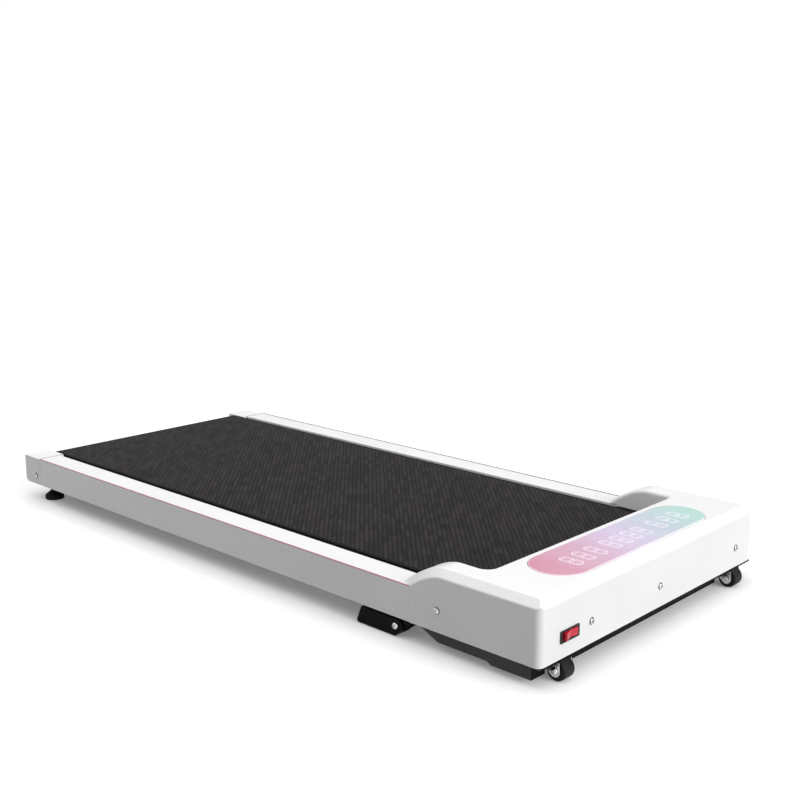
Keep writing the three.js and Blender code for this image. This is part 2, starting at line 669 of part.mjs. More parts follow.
const powerSwitch = groupAt(SWITCH.x, 0, SWITCH.z);
place("switch_bezel", switchBody(), BLACK_PLASTIC, powerSwitch);
const rockerSpot = groupAt(0, ROCKER_PIVOT_Y, 0, powerSwitch);
rockerSpot.rotation.z = THREE.MathUtils.degToRad(SWITCH.tilt);
place("switch_rocker", rocker(), RED, rockerSpot);

function powerInlet() {
  const flange = box(HALF_WIDTH + GAP, HALF_WIDTH + 1.7, -15.5, 15.5, -12, 12);
  const body = box(HALF_WIDTH - 21, HALF_WIDTH + 1, -13.2, 13.2, -9.7, 9.7);
  return join([flange, body]).subtract(box(HALF_WIDTH - 14, HALF_WIDTH + 3, -11, 11, -7.5, 7.5));
}

place("power_inlet", powerInlet(), BLACK_PLASTIC, groupAt(0, INLET.y, INLET.z));

// ---- front transport wheels ----
const pinHole = () => rod(3.3, -20, 20, "x", [0, 0, 0], 12);

function casterWheel() {
  const { radius: r, halfWidth: w } = CASTER;
  const bore = 3.3;
  const profile = [
    [bore, -w], [r - 1.8, -w], [r - 0.5, 0.9 - w], [r, 2.4 - w],
    [r, w - 2.4], [r - 0.5, w - 0.9], [r - 1.8, w], [bore, w], [bore, -w],
  ];
  return turned(profile, "x", [0, 0, 0], 28);
}

function casterFork() {
  const { forkHalf, plate } = CASTER;
  const top = PAN_LIP.z - GAP - CASTER.radius;
  const cheek = new THREE.Shape();
  cheek.moveTo(-6.5, top);
  cheek.lineTo(-7.5, 0);
  cheek.absarc(0, 0, 7.5, Math.PI, 1.8 * Math.PI, false);
  cheek.lineTo(22, top);
  const cheeks = [-1, 1].map((side) => {
    const x = side < 0 ? -forkHalf : forkHalf - plate;
    return prismX(cheek, x, x + plate);
  });
  const crown = box(-forkHalf, forkHalf, 9.5, 21.6, top - 1, top - 0.1);
  return cut(join([...cheeks, crown]), [pinHole()]);
}

function casterAxle() {
  const end = CASTER.forkHalf + GAP;
  const profile = [
    [0, -end - 3.2], [3.6, -end - 3], [4.6, -end - 2], [4.6, -end], [3, -end],
    [3, end], [4.8, end], [4.8, end + 3], [0, end + 3],
  ];
  return turned(profile, "x", [0, 0, 0], 12);
}

for (const { name, group } of SIDES) {
  const caster = groupAt(CASTER.x, CASTER.y, CASTER.radius, group);
  place(`caster_wheel_${name}`, casterWheel(), SOFT_RUBBER, caster);
  place(`caster_fork_${name}`, casterFork(), STEEL, caster);
  place(`caster_axle_${name}`, casterAxle(), STEEL, caster);
}

// ---- fold-down incline legs ----
function legOutline(inset) {
  const bottom = inset - LEG.bottom;
  const top = LEG.top - inset;
  const front = inset - LEG.front;
  const corner = 4 - inset / 2;
  const shape = new THREE.Shape();
  shape.moveTo(1.5 + inset * 0.4, bottom);
  shape.lineTo(LEG.length - inset - corner, bottom);
  shape.quadraticCurveTo(LEG.length - inset, bottom, LEG.length - inset - 1.4, bottom + corner);
  shape.lineTo(LEG.topLength + 1.4 - inset, top - corner);
  shape.quadraticCurveTo(LEG.topLength - inset, top, LEG.topLength - inset - corner, top);
  shape.lineTo(0, top);
  shape.quadraticCurveTo(front, top, front, -2.6);
  return shape;
}

// The channel's web is open at the hinge: slotted for the bracket's lug, and cut back before its tongue.
function inclineLeg() {
  const { halfWidth: w, plate, front, bottom, top } = LEG;
  const blank = prismX(legOutline(0), -w, w);
  const channel = prismX(legOutline(plate), plate - w, w - plate);
  const openTop = box(plate - w, w - plate, -front - 1, LEG.topLength - 8, 0, top + 1);
  const openFront = box(plate - w, w - plate, -front - 1, -9.2, -bottom - 1, 1);
  const lugSlot = box(-4.6, 4.6, -front - 1, 1.8, -bottom - 1, 1);
  return cut(blank, [channel, openTop, openFront, lugSlot, pinHole()]);
}

function legBracket() {
  const top = 12.5;
  const base = box(-13, 13, -33.5, -12.8, top - 2.7, top);
  const step = box(-13, 13, -25, -12.8, top - 6.5, top);
  const seat = box(-11, 11, -31, -8, top - 1, top + 3);
  const tongue = box(-8, 8, -14, 8, top - 2.7, top);
  const lug = join([rod(8.8, -4, 4, "x"), box(-4, 4, -6.5, 6.5, 0, top)]);
  return cut(join([base, step, seat, tongue, lug]), [pinHole()]);
}

function legBolt() {
  const end = LEG.halfWidth + GAP;
  const profile = [
    [0, -end - 3.6], [4.6, -end - 3.6], [4.6, -end], [3, -end],
    [3, end], [4.6, end], [4.6, end + 2.4], [3.4, end + 3.8], [0, end + 4],
  ];
  const socket = prismX(hexagon(2), end + 2, end + 5);
  return turned(profile, "x", [0, 0, 0], 12).subtract(socket);
}

for (const { name, group } of SIDES) {
  const hinge = groupAt(LEG.x, LEG.y, LEG.z, group);
  place(`incline_leg_${name}`, inclineLeg(), BLACK_PAINT, hinge);
  place(`incline_bracket_${name}`, legBracket(), BLACK_PAINT, hinge);
  place(`incline_bolt_${name}`, legBolt(), STEEL, hinge);
}

// ---- rear levelling feet ----
for (const { name, group } of SIDES) {
  const r = FOOT.radius;
  const profile = [
    [0, 0], [r - 0.6, 0], [r, 0.8], [r - 0.4, 7], [r - 2, 8.4], [7.5, 13.5], [6.5, 16], [4, 16],
    [4, 44], [0, 44],
  ];
  place(`rear_foot_${name}`, turned(profile, "z"), SOFT_RUBBER, groupAt(FOOT.x, FOOT.y, 0, group));
}

export default pad;
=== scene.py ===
import json
import math

import bmesh
import bpy
from mathutils import Matrix, Vector


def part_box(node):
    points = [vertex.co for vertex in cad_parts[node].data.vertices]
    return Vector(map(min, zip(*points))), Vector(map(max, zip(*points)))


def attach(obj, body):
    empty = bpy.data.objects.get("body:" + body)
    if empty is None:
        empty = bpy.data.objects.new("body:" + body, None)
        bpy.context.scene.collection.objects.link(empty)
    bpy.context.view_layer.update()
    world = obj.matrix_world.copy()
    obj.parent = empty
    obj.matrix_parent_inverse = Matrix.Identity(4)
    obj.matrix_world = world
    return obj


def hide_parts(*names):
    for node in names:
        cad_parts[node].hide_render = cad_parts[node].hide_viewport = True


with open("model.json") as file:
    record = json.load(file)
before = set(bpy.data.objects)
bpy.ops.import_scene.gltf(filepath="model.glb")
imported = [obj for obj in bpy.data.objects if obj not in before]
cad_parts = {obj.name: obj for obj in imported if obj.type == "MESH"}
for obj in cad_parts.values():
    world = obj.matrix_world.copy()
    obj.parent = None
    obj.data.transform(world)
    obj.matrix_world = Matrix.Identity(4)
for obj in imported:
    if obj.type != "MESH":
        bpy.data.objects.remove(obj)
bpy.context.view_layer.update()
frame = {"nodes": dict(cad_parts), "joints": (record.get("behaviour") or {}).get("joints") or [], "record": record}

RECORD = frame["record"]
BODY_OF = {n: body for body, nodes in RECORD["behaviour"]["bodies"].items() for n in nodes}
SLOT_OF = {part["node"]: part["material_slot"] for part in RECORD["subparts"]}
SIDES = {"left": -1, "right": 1}
MM = 0.001


# ---- sizes in millimetres, in the row frame ----
def span(node):
    """The lowest and highest corners of a node's box."""
    low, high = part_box(node)
    return low / MM, high / MM


def middle(node):
    """The centre of a node's box."""
    return [(low + high) / 2 for low, high in zip(*span(node))]


COVER_LOW, COVER_HIGH = span("motor_cover")
RAIL_LOW, RAIL_HIGH = span("side_rail_right")
CAP_LOW, CAP_HIGH = span("end_cap_right")
LENS_LOW, LENS_HIGH = span("display_lens")
BELT_LOW, BELT_HIGH = span("running_belt")
HALF_WIDTH = COVER_HIGH.x
FRONT_Y = COVER_LOW.y
SHELL_Z = COVER_LOW.z  # lower edge of the cover, the side rails and the end caps
COVER_TOP = COVER_HIGH.z
RAIL_TOP = RAIL_HIGH.z
GAP = 0.3  # between neighbouring pieces
WALL = 2.5  # thickness of the white mouldings
PAST = 5  # how far a cutter runs past what it cuts

CHAMFER = 10  # along the cover's top edges
CHAMFER_SOFT = 4  # radius of a chamfer's two edges
CORNER_R = 9  # radius of the cover's upright front corners
WING_INNER_X = 209
WING_SKIRT_Z = 73.2  # lower edge of a wing's inner wall
COVER_REAR_Y = -448.5  # the wall over the belt, between the wings
COVER_LIP_Z = 78  # lower edge of that wall
COVER_ROUND = 6  # radius of the edges that look onto the belt
COVER_FILLET = 13  # radius in plan between a wing and the wall over the belt
NOSE_CURVE = [(-339.8, 74), (-382, COVER_TOP), (-410, COVER_TOP)]  # (y, z) down a wing: end, bend, start
SCREW_Z = 56
SCREW_HOLE_R = 2.8
SIDE_SCREW_Y = -402.8
FRONT_SCREW_XS = [-149, 4, 203]
SWITCH_BODY = (16.5, 6.3)  # half width and half height behind the flange
SWITCH_HOLE = (17, 6.7)
INLET_BODY = (13.2, 9.7)
INLET_HOLE = (13.7, 10.2)
ADJUSTER = (228, 53.1)  # x and z of the belt adjusters
PAN_LIP_Z = 25  # underside of the pan's flange, over the wheel forks
DISPLAY_Y = (LENS_LOW.y + LENS_HIGH.y) / 2


# ---- outlines ----
def rounded(points, steps=6):
    """The closed outline with each (u, v, radius) corner turned into an arc."""
    result = []
    for i, (u, v, *radius) in enumerate(points):
        corner = Vector((u, v))
        if not radius:
            result.append(corner)
            continue
        before = (Vector(points[i - 1][:2]) - corner).normalized()
        after = (Vector(points[(i + 1) % len(points)][:2]) - corner).normalized()
        half = before.angle(after) / 2
        centre = corner + (before + after).normalized() * radius[0] / math.sin(half)
        reach = radius[0] / math.tan(half)
        start = corner + before * reach - centre
        end = corner + after * reach - centre
        turn = start.angle_signed(end)
        for k in range(steps + 1):
            angle = -turn * k / steps
            result.append(centre + Matrix.Rotation(angle, 2) @ start)
    return result


def rectangle(u0, u1, v0, v1, radius=None):
    corners = [(u0, v0), (u1, v0), (u1, v1), (u0, v1)]
    return rounded([(u, v, radius) if radius else (u, v) for u, v in corners])


def around(half_u, half_v, radius=None):
    """An oblong about the origin."""
    return rectangle(-half_u, half_u, -half_v, half_v, radius)


def arc(centre, radius, start, end, steps):
    """Points round part of a circle, from one angle in degrees to another."""
    angles = [math.radians(start + (end - start) * k / steps) for k in range(steps + 1)]
    return [Vector((centre[0] + radius * math.cos(a), centre[1] + radius * math.sin(a))) for a in angles]


def bezier(start, bend, end, steps):
    """Points along a curve that is pulled towards the bend."""
    a, b, c = Vector(start), Vector(bend), Vector(end)
    shares = [k / steps for k in range(steps + 1)]
    return [a * (1 - t) ** 2 + b * 2 * t * (1 - t) + c * t * t for t in shares]


def stadium(half_length, half_width, steps=32):
    """An oblong with half-round ends."""
    flat = half_length - half_width
    return arc((flat, 0), half_width, -90, 90, steps) + arc((-flat, 0), half_width, 90, 270, steps)


def offset(points, distance):
    """The closed outline moved inwards by a distance."""
    if distance == 0:
        return list(points)
    area = sum(a.cross(b) for a, b in zip(points, points[1:] + points[:1]))
    sign = 1 if area > 0 else -1
    sharpest = 0.3  # keeps a very sharp corner from flying off
    moved = []
    for i, point in enumerate(points):
        into = (point - points[i - 1]).normalized()
        out = (points[(i + 1) % len(points)] - point).normalized()
        normals = [Vector((-d.y, d.x)) * sign for d in (into, out)]
        between = (normals[0] + normals[1]).normalized()
        moved.append(point + between * distance / max(sharpest, between.dot(normals[0])))
    return moved


# ---- solids ----
# Where an outline's two coordinates and the distance along an axis go.
PLACE = {
    "x": lambda u, v, w: Vector((w, u, v)),
    "y": lambda u, v, w: Vector((u, w, v)),
    "z": lambda u, v, w: Vector((u, v, w)),
}


def new_object(bm, name="piece"):
    """Puts a mesh in the scene, with its faces turned outwards."""
    bmesh.ops.recalc_face_normals(bm, faces=bm.faces)
    mesh = bpy.data.meshes.new(name)
    bm.to_mesh(mesh)
    bm.free()
    obj = bpy.data.objects.new(name, mesh)
    bpy.context.scene.collection.objects.link(obj)
    return obj


def bridge(bm, ring_a, ring_b):
    """Faces between two rings of vertices; a ring may be one vertex, repeated."""
    for k in range(len(ring_a)):
        n = (k + 1) % len(ring_a)
        corners = list(dict.fromkeys([ring_a[k], ring_a[n], ring_b[n], ring_b[k]]))
        if len(corners) > 2:
            bm.faces.new(corners)


def loft(outline, axis, layers):
    """A solid along an axis through (distance, inset) layers of one outline."""
    bm = bmesh.new()
    rings = []
    for distance, inset in layers:
        points = offset(outline, inset)
        rings.append([bm.verts.new(PLACE[axis](*p, distance) * MM) for p in points])
    for ring_a, ring_b in zip(rings, rings[1:]):
        bridge(bm, ring_a, ring_b)
    bm.faces.new(rings[0])
    bm.faces.new(rings[-1])
    return new_object(bm)


def prism(outline, axis, start, end):
    points = [Vector(p) for p in outline]
    return loft(points, axis, [(start, 0), (end, 0)])


def soft_prism(outline, axis, start, end, radius, steps=3):
    """A prism whose end edges are rounded."""
    points = [Vector(p) for p in outline]
    angles = [math.pi / 2 * k / steps for k in range(steps + 1)]
    first = [(start + radius * (1 - math.cos(a)), radius * (1 - math.sin(a))) for a in angles]
    last = [(end - distance + start, inset) for distance, inset in reversed(first)]
    return loft(points, axis, first + last)


def block(x0, x1, y0, y1, z0, z1):
    return prism(rectangle(x0, x1, y0, y1), "z", z0, z1)


def turned(profile, axis, centre=(0, 0, 0), segments=64):
    """A solid turned about an axis; the profile is (radius, distance) pairs, closed or ending on the axis."""
    bm = bmesh.new()
    angles = [2 * math.pi * k / segments for k in range(segments)]
    rings = []
    for radius, distance in profile:
        if rings and (radius, distance) == tuple(profile[0]):
            rings.append(rings[0])
            continue
        around = [(0, 0)] if radius == 0 else [(radius * math.cos(a), radius * math.sin(a)) for a in angles]
        ring = [bm.verts.new((PLACE[axis](u, v, distance) + Vector(centre)) * MM) for u, v in around]
        rings.append(ring * segments if radius == 0 else ring)
    for ring_a, ring_b in zip(rings, rings[1:]):
        bridge(bm, ring_a, ring_b)
    return new_object(bm)


def rod(radius, start, end, axis, centre=(0, 0, 0), segments=48):
    return turned([(0, start), (radius, start), (radius, end), (0, end)], axis, centre, segments)


def bake(obj):
    """Puts the result of the object's modifiers into its own mesh."""
    evaluated = obj.evaluated_get(bpy.context.evaluated_depsgraph_get())
    old = obj.data
    obj.data = bpy.data.meshes.new_from_object(evaluated)
    obj.modifiers.clear()
    bpy.data.meshes.remove(old)
    return obj


def combine(body, tools, operation):
    """The body after a boolean with each tool; the tools are used up."""
    for tool in tools:
        modifier = body.modifiers.new("boolean", "BOOLEAN")
        modifier.operation = operation
        modifier.solver = "MANIFOLD"
        modifier.object = tool
    bake(body)
    for tool in tools:
        mesh = tool.data
        bpy.data.objects.remove(tool)
        bpy.data.meshes.remove(mesh)
    return body


def cut(body, tools):
    return combine(body, tools, "DIFFERENCE")


def join(body, tools):
    return combine(body, tools, "UNION")


def common(body, tools):
    return combine(body, tools, "INTERSECT")


WELD = 0.002


def merged(obj, flat_angle=0.4):
    """Joins vertices that are closer than the weld, and faces that lie in one plane."""
    bm = bmesh.new()
    bm.from_mesh(obj.data)
    bmesh.ops.remove_doubles(bm, verts=bm.verts, dist=WELD * MM)
    bmesh.ops.dissolve_limit(bm, angle_limit=math.radians(flat_angle), verts=bm.verts, edges=bm.edges)
    bm.to_mesh(obj.data)
    bm.free()
    return obj


def edged(obj, width, segments=2, angle=28):
    """Rounds the edges that are sharper than an angle."""
    merged(obj)
    modifier = obj.modifiers.new("edges", "BEVEL")
    modifier.width = width * MM
    modifier.segments = segments
    modifier.limit_method = "ANGLE"
    modifier.angle_limit = math.radians(angle)
    return bake(obj)


def smoothed(obj, angle=33):
    """Smooth shading, with flat faces kept flat."""
    mesh = obj.data
    mesh.polygons.foreach_set("use_smooth", [True] * len(mesh.polygons))
    mesh.set_sharp_from_angle(angle=math.radians(angle))
    modifier = obj.modifiers.new("flat_faces", "WEIGHTED_NORMAL")
    modifier.keep_sharp = True
    return obj


def copy_of(node):
    """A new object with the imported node's own shape."""
    obj = bpy.data.objects.new(node + "_shape", frame["nodes"][node].data.copy())
    obj.data.materials.clear()
    bpy.context.scene.collection.objects.link(obj)
    return obj


def finish_extra(obj, name, body, surface, angle=33):
    """Names the piece and gives it a surface and a body; used alone for a detail that no node has."""
    obj.name = name
    obj.data.name = name
    obj.data.materials.clear()
    obj.data.materials.append(SURFACES[surface])
    smoothed(obj, angle)
    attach(obj, body)
    return obj


def finish(obj, name, node, angle=33):
    """The piece stands for its node: it rides on the node's body and has its slot's surface."""
    slot = SLOT_OF[node]
    finish_extra(obj, name, BODY_OF[node], slot, angle)
    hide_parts(node)
    return obj


def second_surface(obj, surface, chosen):
    """Gives another surface to the faces whose normal passes a test."""
    obj.data.materials.append(SURFACES[surface])
    for face in obj.data.polygons:
        face.material_index = int(chosen(face.normal))


def finish_pair(make, node, ending, angle=33):
    """A right-hand piece and its mirror image, the left one first."""
    return [
        finish(mirrored(make(), sign), f"{node}_{side}_{ending}", f"{node}_{side}", angle)
        for side, sign in SIDES.items()
    ]


def mirrored(obj, sign):
    """The right-hand piece, or its mirror image for the left."""
    if sign < 0:
        obj.data.transform(Matrix.Scale(-1, 4, (1, 0, 0)))
        obj.data.flip_normals()
    return obj


# ---- materials ----
def wire(tree, kind, inputs=None, **settings):
    """A new node; inputs are values, or sockets to link from."""
    node = tree.nodes.new(kind)
    for key, value in settings.items():
        setattr(node, key, value)
    for key, value in (inputs or {}).items():
        if isinstance(value, bpy.types.NodeSocket):
            tree.links.new(value, node.inputs[key])
        else:
            node.inputs[key].default_value = value
    return node


def maths(tree, operation, a, b=0.0):
    return wire(tree, "ShaderNodeMath", {0: a, 1: b}, operation=operation).outputs[0]


def noise(tree, where, scale, detail=3.0, roughness=0.55):
    """Smooth noise; a scale of 1 varies over about a metre."""
    inputs = {"Vector": where, "Scale": scale, "Detail": detail, "Roughness": roughness}
    return wire(tree, "ShaderNodeTexNoise", inputs).outputs["Fac"]


def spread(tree, value, low, high, source=(0.3, 0.7)):
    """A value moved from its source range to low and high; noise mostly lies between 0.3 and 0.7."""
    inputs = {"Value": value, "From Min": source[0], "From Max": source[1], "To Min": low, "To Max": high}
    return wire(tree, "ShaderNodeMapRange", inputs).outputs[0]


def ramp(tree, value, stops):
    """A colour picked by a value, from (position, colour) stops."""
    node = wire(tree, "ShaderNodeValToRGB", {"Fac": value})
    elements = node.color_ramp.elements
    for position, colour in stops[1:-1]:
        elements.new(position).color = (*colour, 1)
    elements[0].position, elements[0].color = stops[0][0], (*stops[0][1], 1)
    elements[-1].position, elements[-1].color = stops[-1][0], (*stops[-1][1], 1)
    return node.outputs["Color"]


def object_coordinates(tree):
    return wire(tree, "ShaderNodeTexCoord").outputs["Object"]


def mixed(tree, share, under, over):
    """One colour over another, by a share from 0 to 1."""
    inputs = {0: share, 6: under, 7: (*over, 1)}
    return wire(tree, "ShaderNodeMix", inputs, data_type="RGBA").outputs[2]


def grey(level):
    return (level, level, level)


SURFACES = {}  # by name; a slot's surface has the slot's name


def shader_of(name, **sockets):
    """Makes a surface; its node tree and shader. A socket's spaces are written as underscores."""
    surface = SURFACES[name] = bpy.data.materials.new(name)
    surface.use_nodes = True
    shader = surface.node_tree.nodes["Principled BSDF"]
    for key, value in sockets.items():
        shader.inputs[key.replace("_", " ")].default_value = value
    return surface.node_tree, shader


def grained(name, dark, light, rough, grain, depth, mottle=9.0, **sockets):
    """A surface whose colour drifts, whose gloss varies and whose grain stands up by a depth in mm."""
    tree, shader = shader_of(name, **sockets)
    where = object_coordinates(tree)
    drift = noise(tree, where, mottle, 5.0)
    tree.links.new(ramp(tree, drift, [(0.35, dark), (0.65, light)]), shader.inputs["Base Color"])
    smear = noise(tree, where, mottle * 6, 6.0, 0.65)
    tree.links.new(spread(tree, smear, *rough), shader.inputs["Roughness"])
    height = noise(tree, where, grain, 4.0, 0.6)
    bump = wire(tree, "ShaderNodeBump", {"Height": height, "Strength": 0.6, "Distance": depth * MM})
    tree.links.new(bump.outputs[0], shader.inputs["Normal"])


def brushed(name, dark, light, rough, stretch, **sockets):
    """Metal with fine drawn lines; the stretch sets how fast they vary along each axis."""
    tree, shader = shader_of(name, Metallic=1.0, **sockets)
    where = object_coordinates(tree)
    lines_at = wire(tree, "ShaderNodeMapping", {"Vector": where, "Scale": stretch}).outputs[0]
    lines = noise(tree, lines_at, 1.0, 5.0, 0.7)
    tree.links.new(ramp(tree, lines, [(0.3, dark), (0.7, light)]), shader.inputs["Base Color"])
    stain = noise(tree, where, 60.0, 5.0)
    tree.links.new(spread(tree, stain, *rough), shader.inputs["Roughness"])
    bump = wire(tree, "ShaderNodeBump", {"Height": lines, "Strength": 0.3, "Distance": 0.02 * MM})
    tree.links.new(bump.outputs[0], shader.inputs["Normal"])


STUD_PITCH = 9.0  # between the belt's diamond studs, across it and along it, in mm
STUD_RISE = 0.6  # height of a stud in mm
STUD_BRIDGE = 0.5  # how much of a stud's height is left between it and the next along its diagonal rib
STREAK_STUDS = 4.0  # studs of one rib that share their paleness
SHADE_START, SHADE_FULL = 6.0, 4.5  # where the painted shade along the belt's edges begins and is full, in mm from the belt's edge
# Colour of the painted shade along the belt's edges.
EDGE_SHADE = grey(0.002)


def belt_surface():
    """Staggered diamond studs on dull black rubber, some paler than others, with painted shade making its margins
    nearly black.
    """
    tree, shader = shader_of("belt_rubber", Specular_IOR_Level=0.12)
    uv = wire(tree, "ShaderNodeTexCoord").outputs["UV"]
    split = wire(tree, "ShaderNodeSeparateXYZ", {"Vector": uv})
    across = maths(tree, "DIVIDE", split.outputs["X"], STUD_PITCH * MM)
    along = maths(tree, "DIVIDE", split.outputs["Y"], STUD_PITCH * MM)
    waves, cells = [], []
    for operation, length in (("ADD", STREAK_STUDS), ("SUBTRACT", 1.0)):
        phase = maths(tree, operation, across, along)
        waves.append(maths(tree, "ABSOLUTE", maths(tree, "SINE", maths(tree, "MULTIPLY", phase, math.pi))))
        cells.append(maths(tree, "FLOOR", maths(tree, "DIVIDE", phase, length)))
    bridged = spread(tree, waves[0], STUD_BRIDGE, 1.0, (0.0, 1.0))
    studs = maths(tree, "POWER", maths(tree, "MULTIPLY", bridged, waves[1]), 0.6)
    cell = wire(tree, "ShaderNodeCombineXYZ", {"X": cells[0], "Y": cells[1]}).outputs[0]
    chance = wire(tree, "ShaderNodeTexWhiteNoise", {"Vector": cell}).outputs["Value"]
    fibre = noise(tree, uv, 2600.0, 3.0, 0.6)
    cloud = noise(tree, uv, 7.0, 4.0)
    height = maths(tree, "ADD", studs, maths(tree, "MULTIPLY", fibre, 0.25))
    bump = wire(tree, "ShaderNodeBump", {"Height": height, "Strength": 0.9, "Distance": STUD_RISE * MM})
    tree.links.new(bump.outputs[0], shader.inputs["Normal"])
    paler = maths(tree, "MULTIPLY", studs, spread(tree, chance, 0.4, 0.95, (0.0, 1.0)))
    shade = maths(tree, "ADD", maths(tree, "MULTIPLY", paler, 0.8), maths(tree, "MULTIPLY", cloud, 0.2))
    colour = ramp(tree, shade, [(0.12, grey(0.002)), (0.95, (0.043, 0.036, 0.038))])
    # Painted shade: towards each edge the belt goes nearly black, as in the gap beside the rail.
    from_middle = maths(tree, "ABSOLUTE", split.outputs["X"])
    shade_span = [(BELT_HIGH.x - away) * MM for away in (SHADE_START, SHADE_FULL)]
    edge = spread(tree, from_middle, 0.0, 1.0, shade_span)
    tree.links.new(mixed(tree, edge, colour, EDGE_SHADE), shader.inputs["Base Color"])
    tree.links.new(spread(tree, cloud, 0.6, 0.72), shader.inputs["Roughness"])


# From the pink end of the display to the mint one.
LENS_TINTS = [
    (0.02, (0.68, 0.24, 0.36)),
    (0.25, (0.70, 0.38, 0.53)),
    (0.50, (0.71, 0.58, 0.81)),
    (0.74, (0.57, 0.66, 0.77)),
    (0.97, (0.46, 0.78, 0.69)),
]
LENS_SLANT = -0.35  # how far the tints lean, along x for each step along y
LENS_RIM = (1.3, 0.9)  # where the pale rim begins and is full, in mm from the lens's edge


def lens_surface():
    """Pink through lavender to mint along the display, with a thin pale line round the rim."""
    tree, shader = shader_of(
        "display_lens", Roughness=0.16, Coat_Weight=0.6, Coat_Roughness=0.05, Specular_IOR_Level=0.4
    )
    split = wire(tree, "ShaderNodeSeparateXYZ", {"Vector": object_coordinates(tree)})
    x, y = split.outputs["X"], maths(tree, "SUBTRACT", split.outputs["Y"], DISPLAY_Y * MM)
    slant = maths(tree, "ADD", x, maths(tree, "MULTIPLY", y, LENS_SLANT))
    half = LENS_HIGH.x * MM
    tint = ramp(tree, spread(tree, slant, 0.0, 1.0, (-half, half)), LENS_TINTS)
    half_width = (LENS_HIGH.y - LENS_LOW.y) / 2 * MM
    past_flat = maths(tree, "SUBTRACT", maths(tree, "ABSOLUTE", x), half - half_width)
    beyond = maths(tree, "MAXIMUM", past_flat, 0.0)
    squares = [maths(tree, "MULTIPLY", value, value) for value in (beyond, y)]
    out = maths(tree, "SQRT", maths(tree, "ADD", *squares))
    rim = spread(tree, out, 0.0, 0.6, [half_width - away * MM for away in LENS_RIM])
    pale = mixed(tree, rim, tint, (0.92, 0.88, 0.91))
    veil = spread(tree, noise(tree, object_coordinates(tree), 26.0, 4.0), 0.0, 0.10)
    tree.links.new(mixed(tree, veil, pale, (1, 1, 1)), shader.inputs["Base Color"])


def board_surface():
    """Green solder mask with a faint grid of tracks."""
    tree, shader = shader_of("circuit_board", Coat_Weight=0.3)
    where = object_coordinates(tree)
    cells = wire(tree, "ShaderNodeTexVoronoi", {"Vector": where, "Scale": 320.0}, distance="MANHATTAN")
    tracks = spread(tree, cells.outputs["Distance"], 0.0, 1.0, (0.2, 0.3))
    colour = ramp(tree, tracks, [(0.4, (0.02, 0.16, 0.07)), (0.6, (0.006, 0.07, 0.03))])
    tree.links.new(colour, shader.inputs["Base Color"])
    bump = wire(tree, "ShaderNodeBump", {"Height": tracks, "Strength": 0.3, "Distance": 0.04 * MM})
    tree.links.new(bump.outputs[0], shader.inputs["Normal"])
    tree.links.new(spread(tree, noise(tree, where, 90.0), 0.3, 0.45), shader.inputs["Roughness"])


grained(
    "white_plastic", (0.875, 0.870, 0.873), (0.915, 0.912, 0.914), (0.27, 0.36), 1900.0, 0.035,
    Coat_Weight=0.12, Coat_Roughness=0.12,
)
grained(
    "black_plastic", (0.005, 0.005, 0.006), grey(0.013), (0.5, 0.64), 1500.0, 0.09,
    Specular_IOR_Level=0.42,
)
grained(
    "red_plastic", (0.56, 0.003, 0.016), (0.66, 0.006, 0.028), (0.2, 0.3), 700.0, 0.02, 40.0,
    Coat_Weight=0.15, Coat_Roughness=0.06, Specular_IOR_Level=0.35,
)
lens_surface()
belt_surface()
grained("soft_rubber", grey(0.003), grey(0.008), (0.55, 0.75), 1100.0, 0.12, 25.0, Specular_IOR_Level=0.2)
grained("caster_tyre", grey(0.004), grey(0.011), (0.42, 0.62), 1300.0, 0.08, 60.0, Specular_IOR_Level=0.25)
DRAWN_LINES = (900.0, 900.0, 160.0)
# Painted shade: darker steel for the sides and recesses of the screws.
brushed("painted_shade_steel", grey(0.05), grey(0.12), (0.4, 0.6), DRAWN_LINES)
brushed("bright_steel", (0.55, 0.55, 0.56), (0.78, 0.78, 0.79), (0.16, 0.34), DRAWN_LINES)
grained("frame_paint", (0.024, 0.026, 0.028), (0.036, 0.038, 0.041), (0.4, 0.55), 420.0, 0.12)
grained("black_paint", grey(0.0015), grey(0.004), (0.4, 0.55), 520.0, 0.06, 18.0, Specular_IOR_Level=0.06)
grained("motor_paint", (0.038, 0.041, 0.045), (0.055, 0.058, 0.063), (0.3, 0.45), 300.0, 0.08)
grained("deck_laminate", grey(0.002), grey(0.006), (0.4, 0.6), 900.0, 0.05, 160.0, Specular_IOR_Level=0.15)
board_surface()
brushed("heat_sink", (0.50, 0.51, 0.52), (0.66, 0.67, 0.68), (0.3, 0.45), (400.0, 30.0, 400.0))
grained("accent_line", (0.72, 0.35, 0.43), (0.79, 0.41, 0.49), (0.35, 0.45), 900.0, 0.02, 12.0)
# Painted shade: a darker copy of the coloured line, for its inner face.
grained("accent_painted_shade", (0.10, 0.02, 0.03), (0.14, 0.03, 0.05), (0.4, 0.5), 900.0, 0.02, 12.0)
# Ink of the digits, with a faint painted glow from its emission.
grained(
    "digit_ink_painted_glow", (0.90, 0.84, 0.92), (0.96, 0.90, 0.97), (0.3, 0.4), 900.0, 0.01, 30.0,
    Emission_Color=(1, 1, 1, 1), Emission_Strength=0.05,
)


# ---- motor cover ----
def rim_arc(radius, steps):
    """(distance in from an end, inset) pairs round a quarter circle, from the end inwards."""
    angles = [math.pi / 2 * k / steps for k in range(steps + 1)]
    return [(radius * (1 - math.cos(a)), radius * (1 - math.sin(a))) for a in angles]


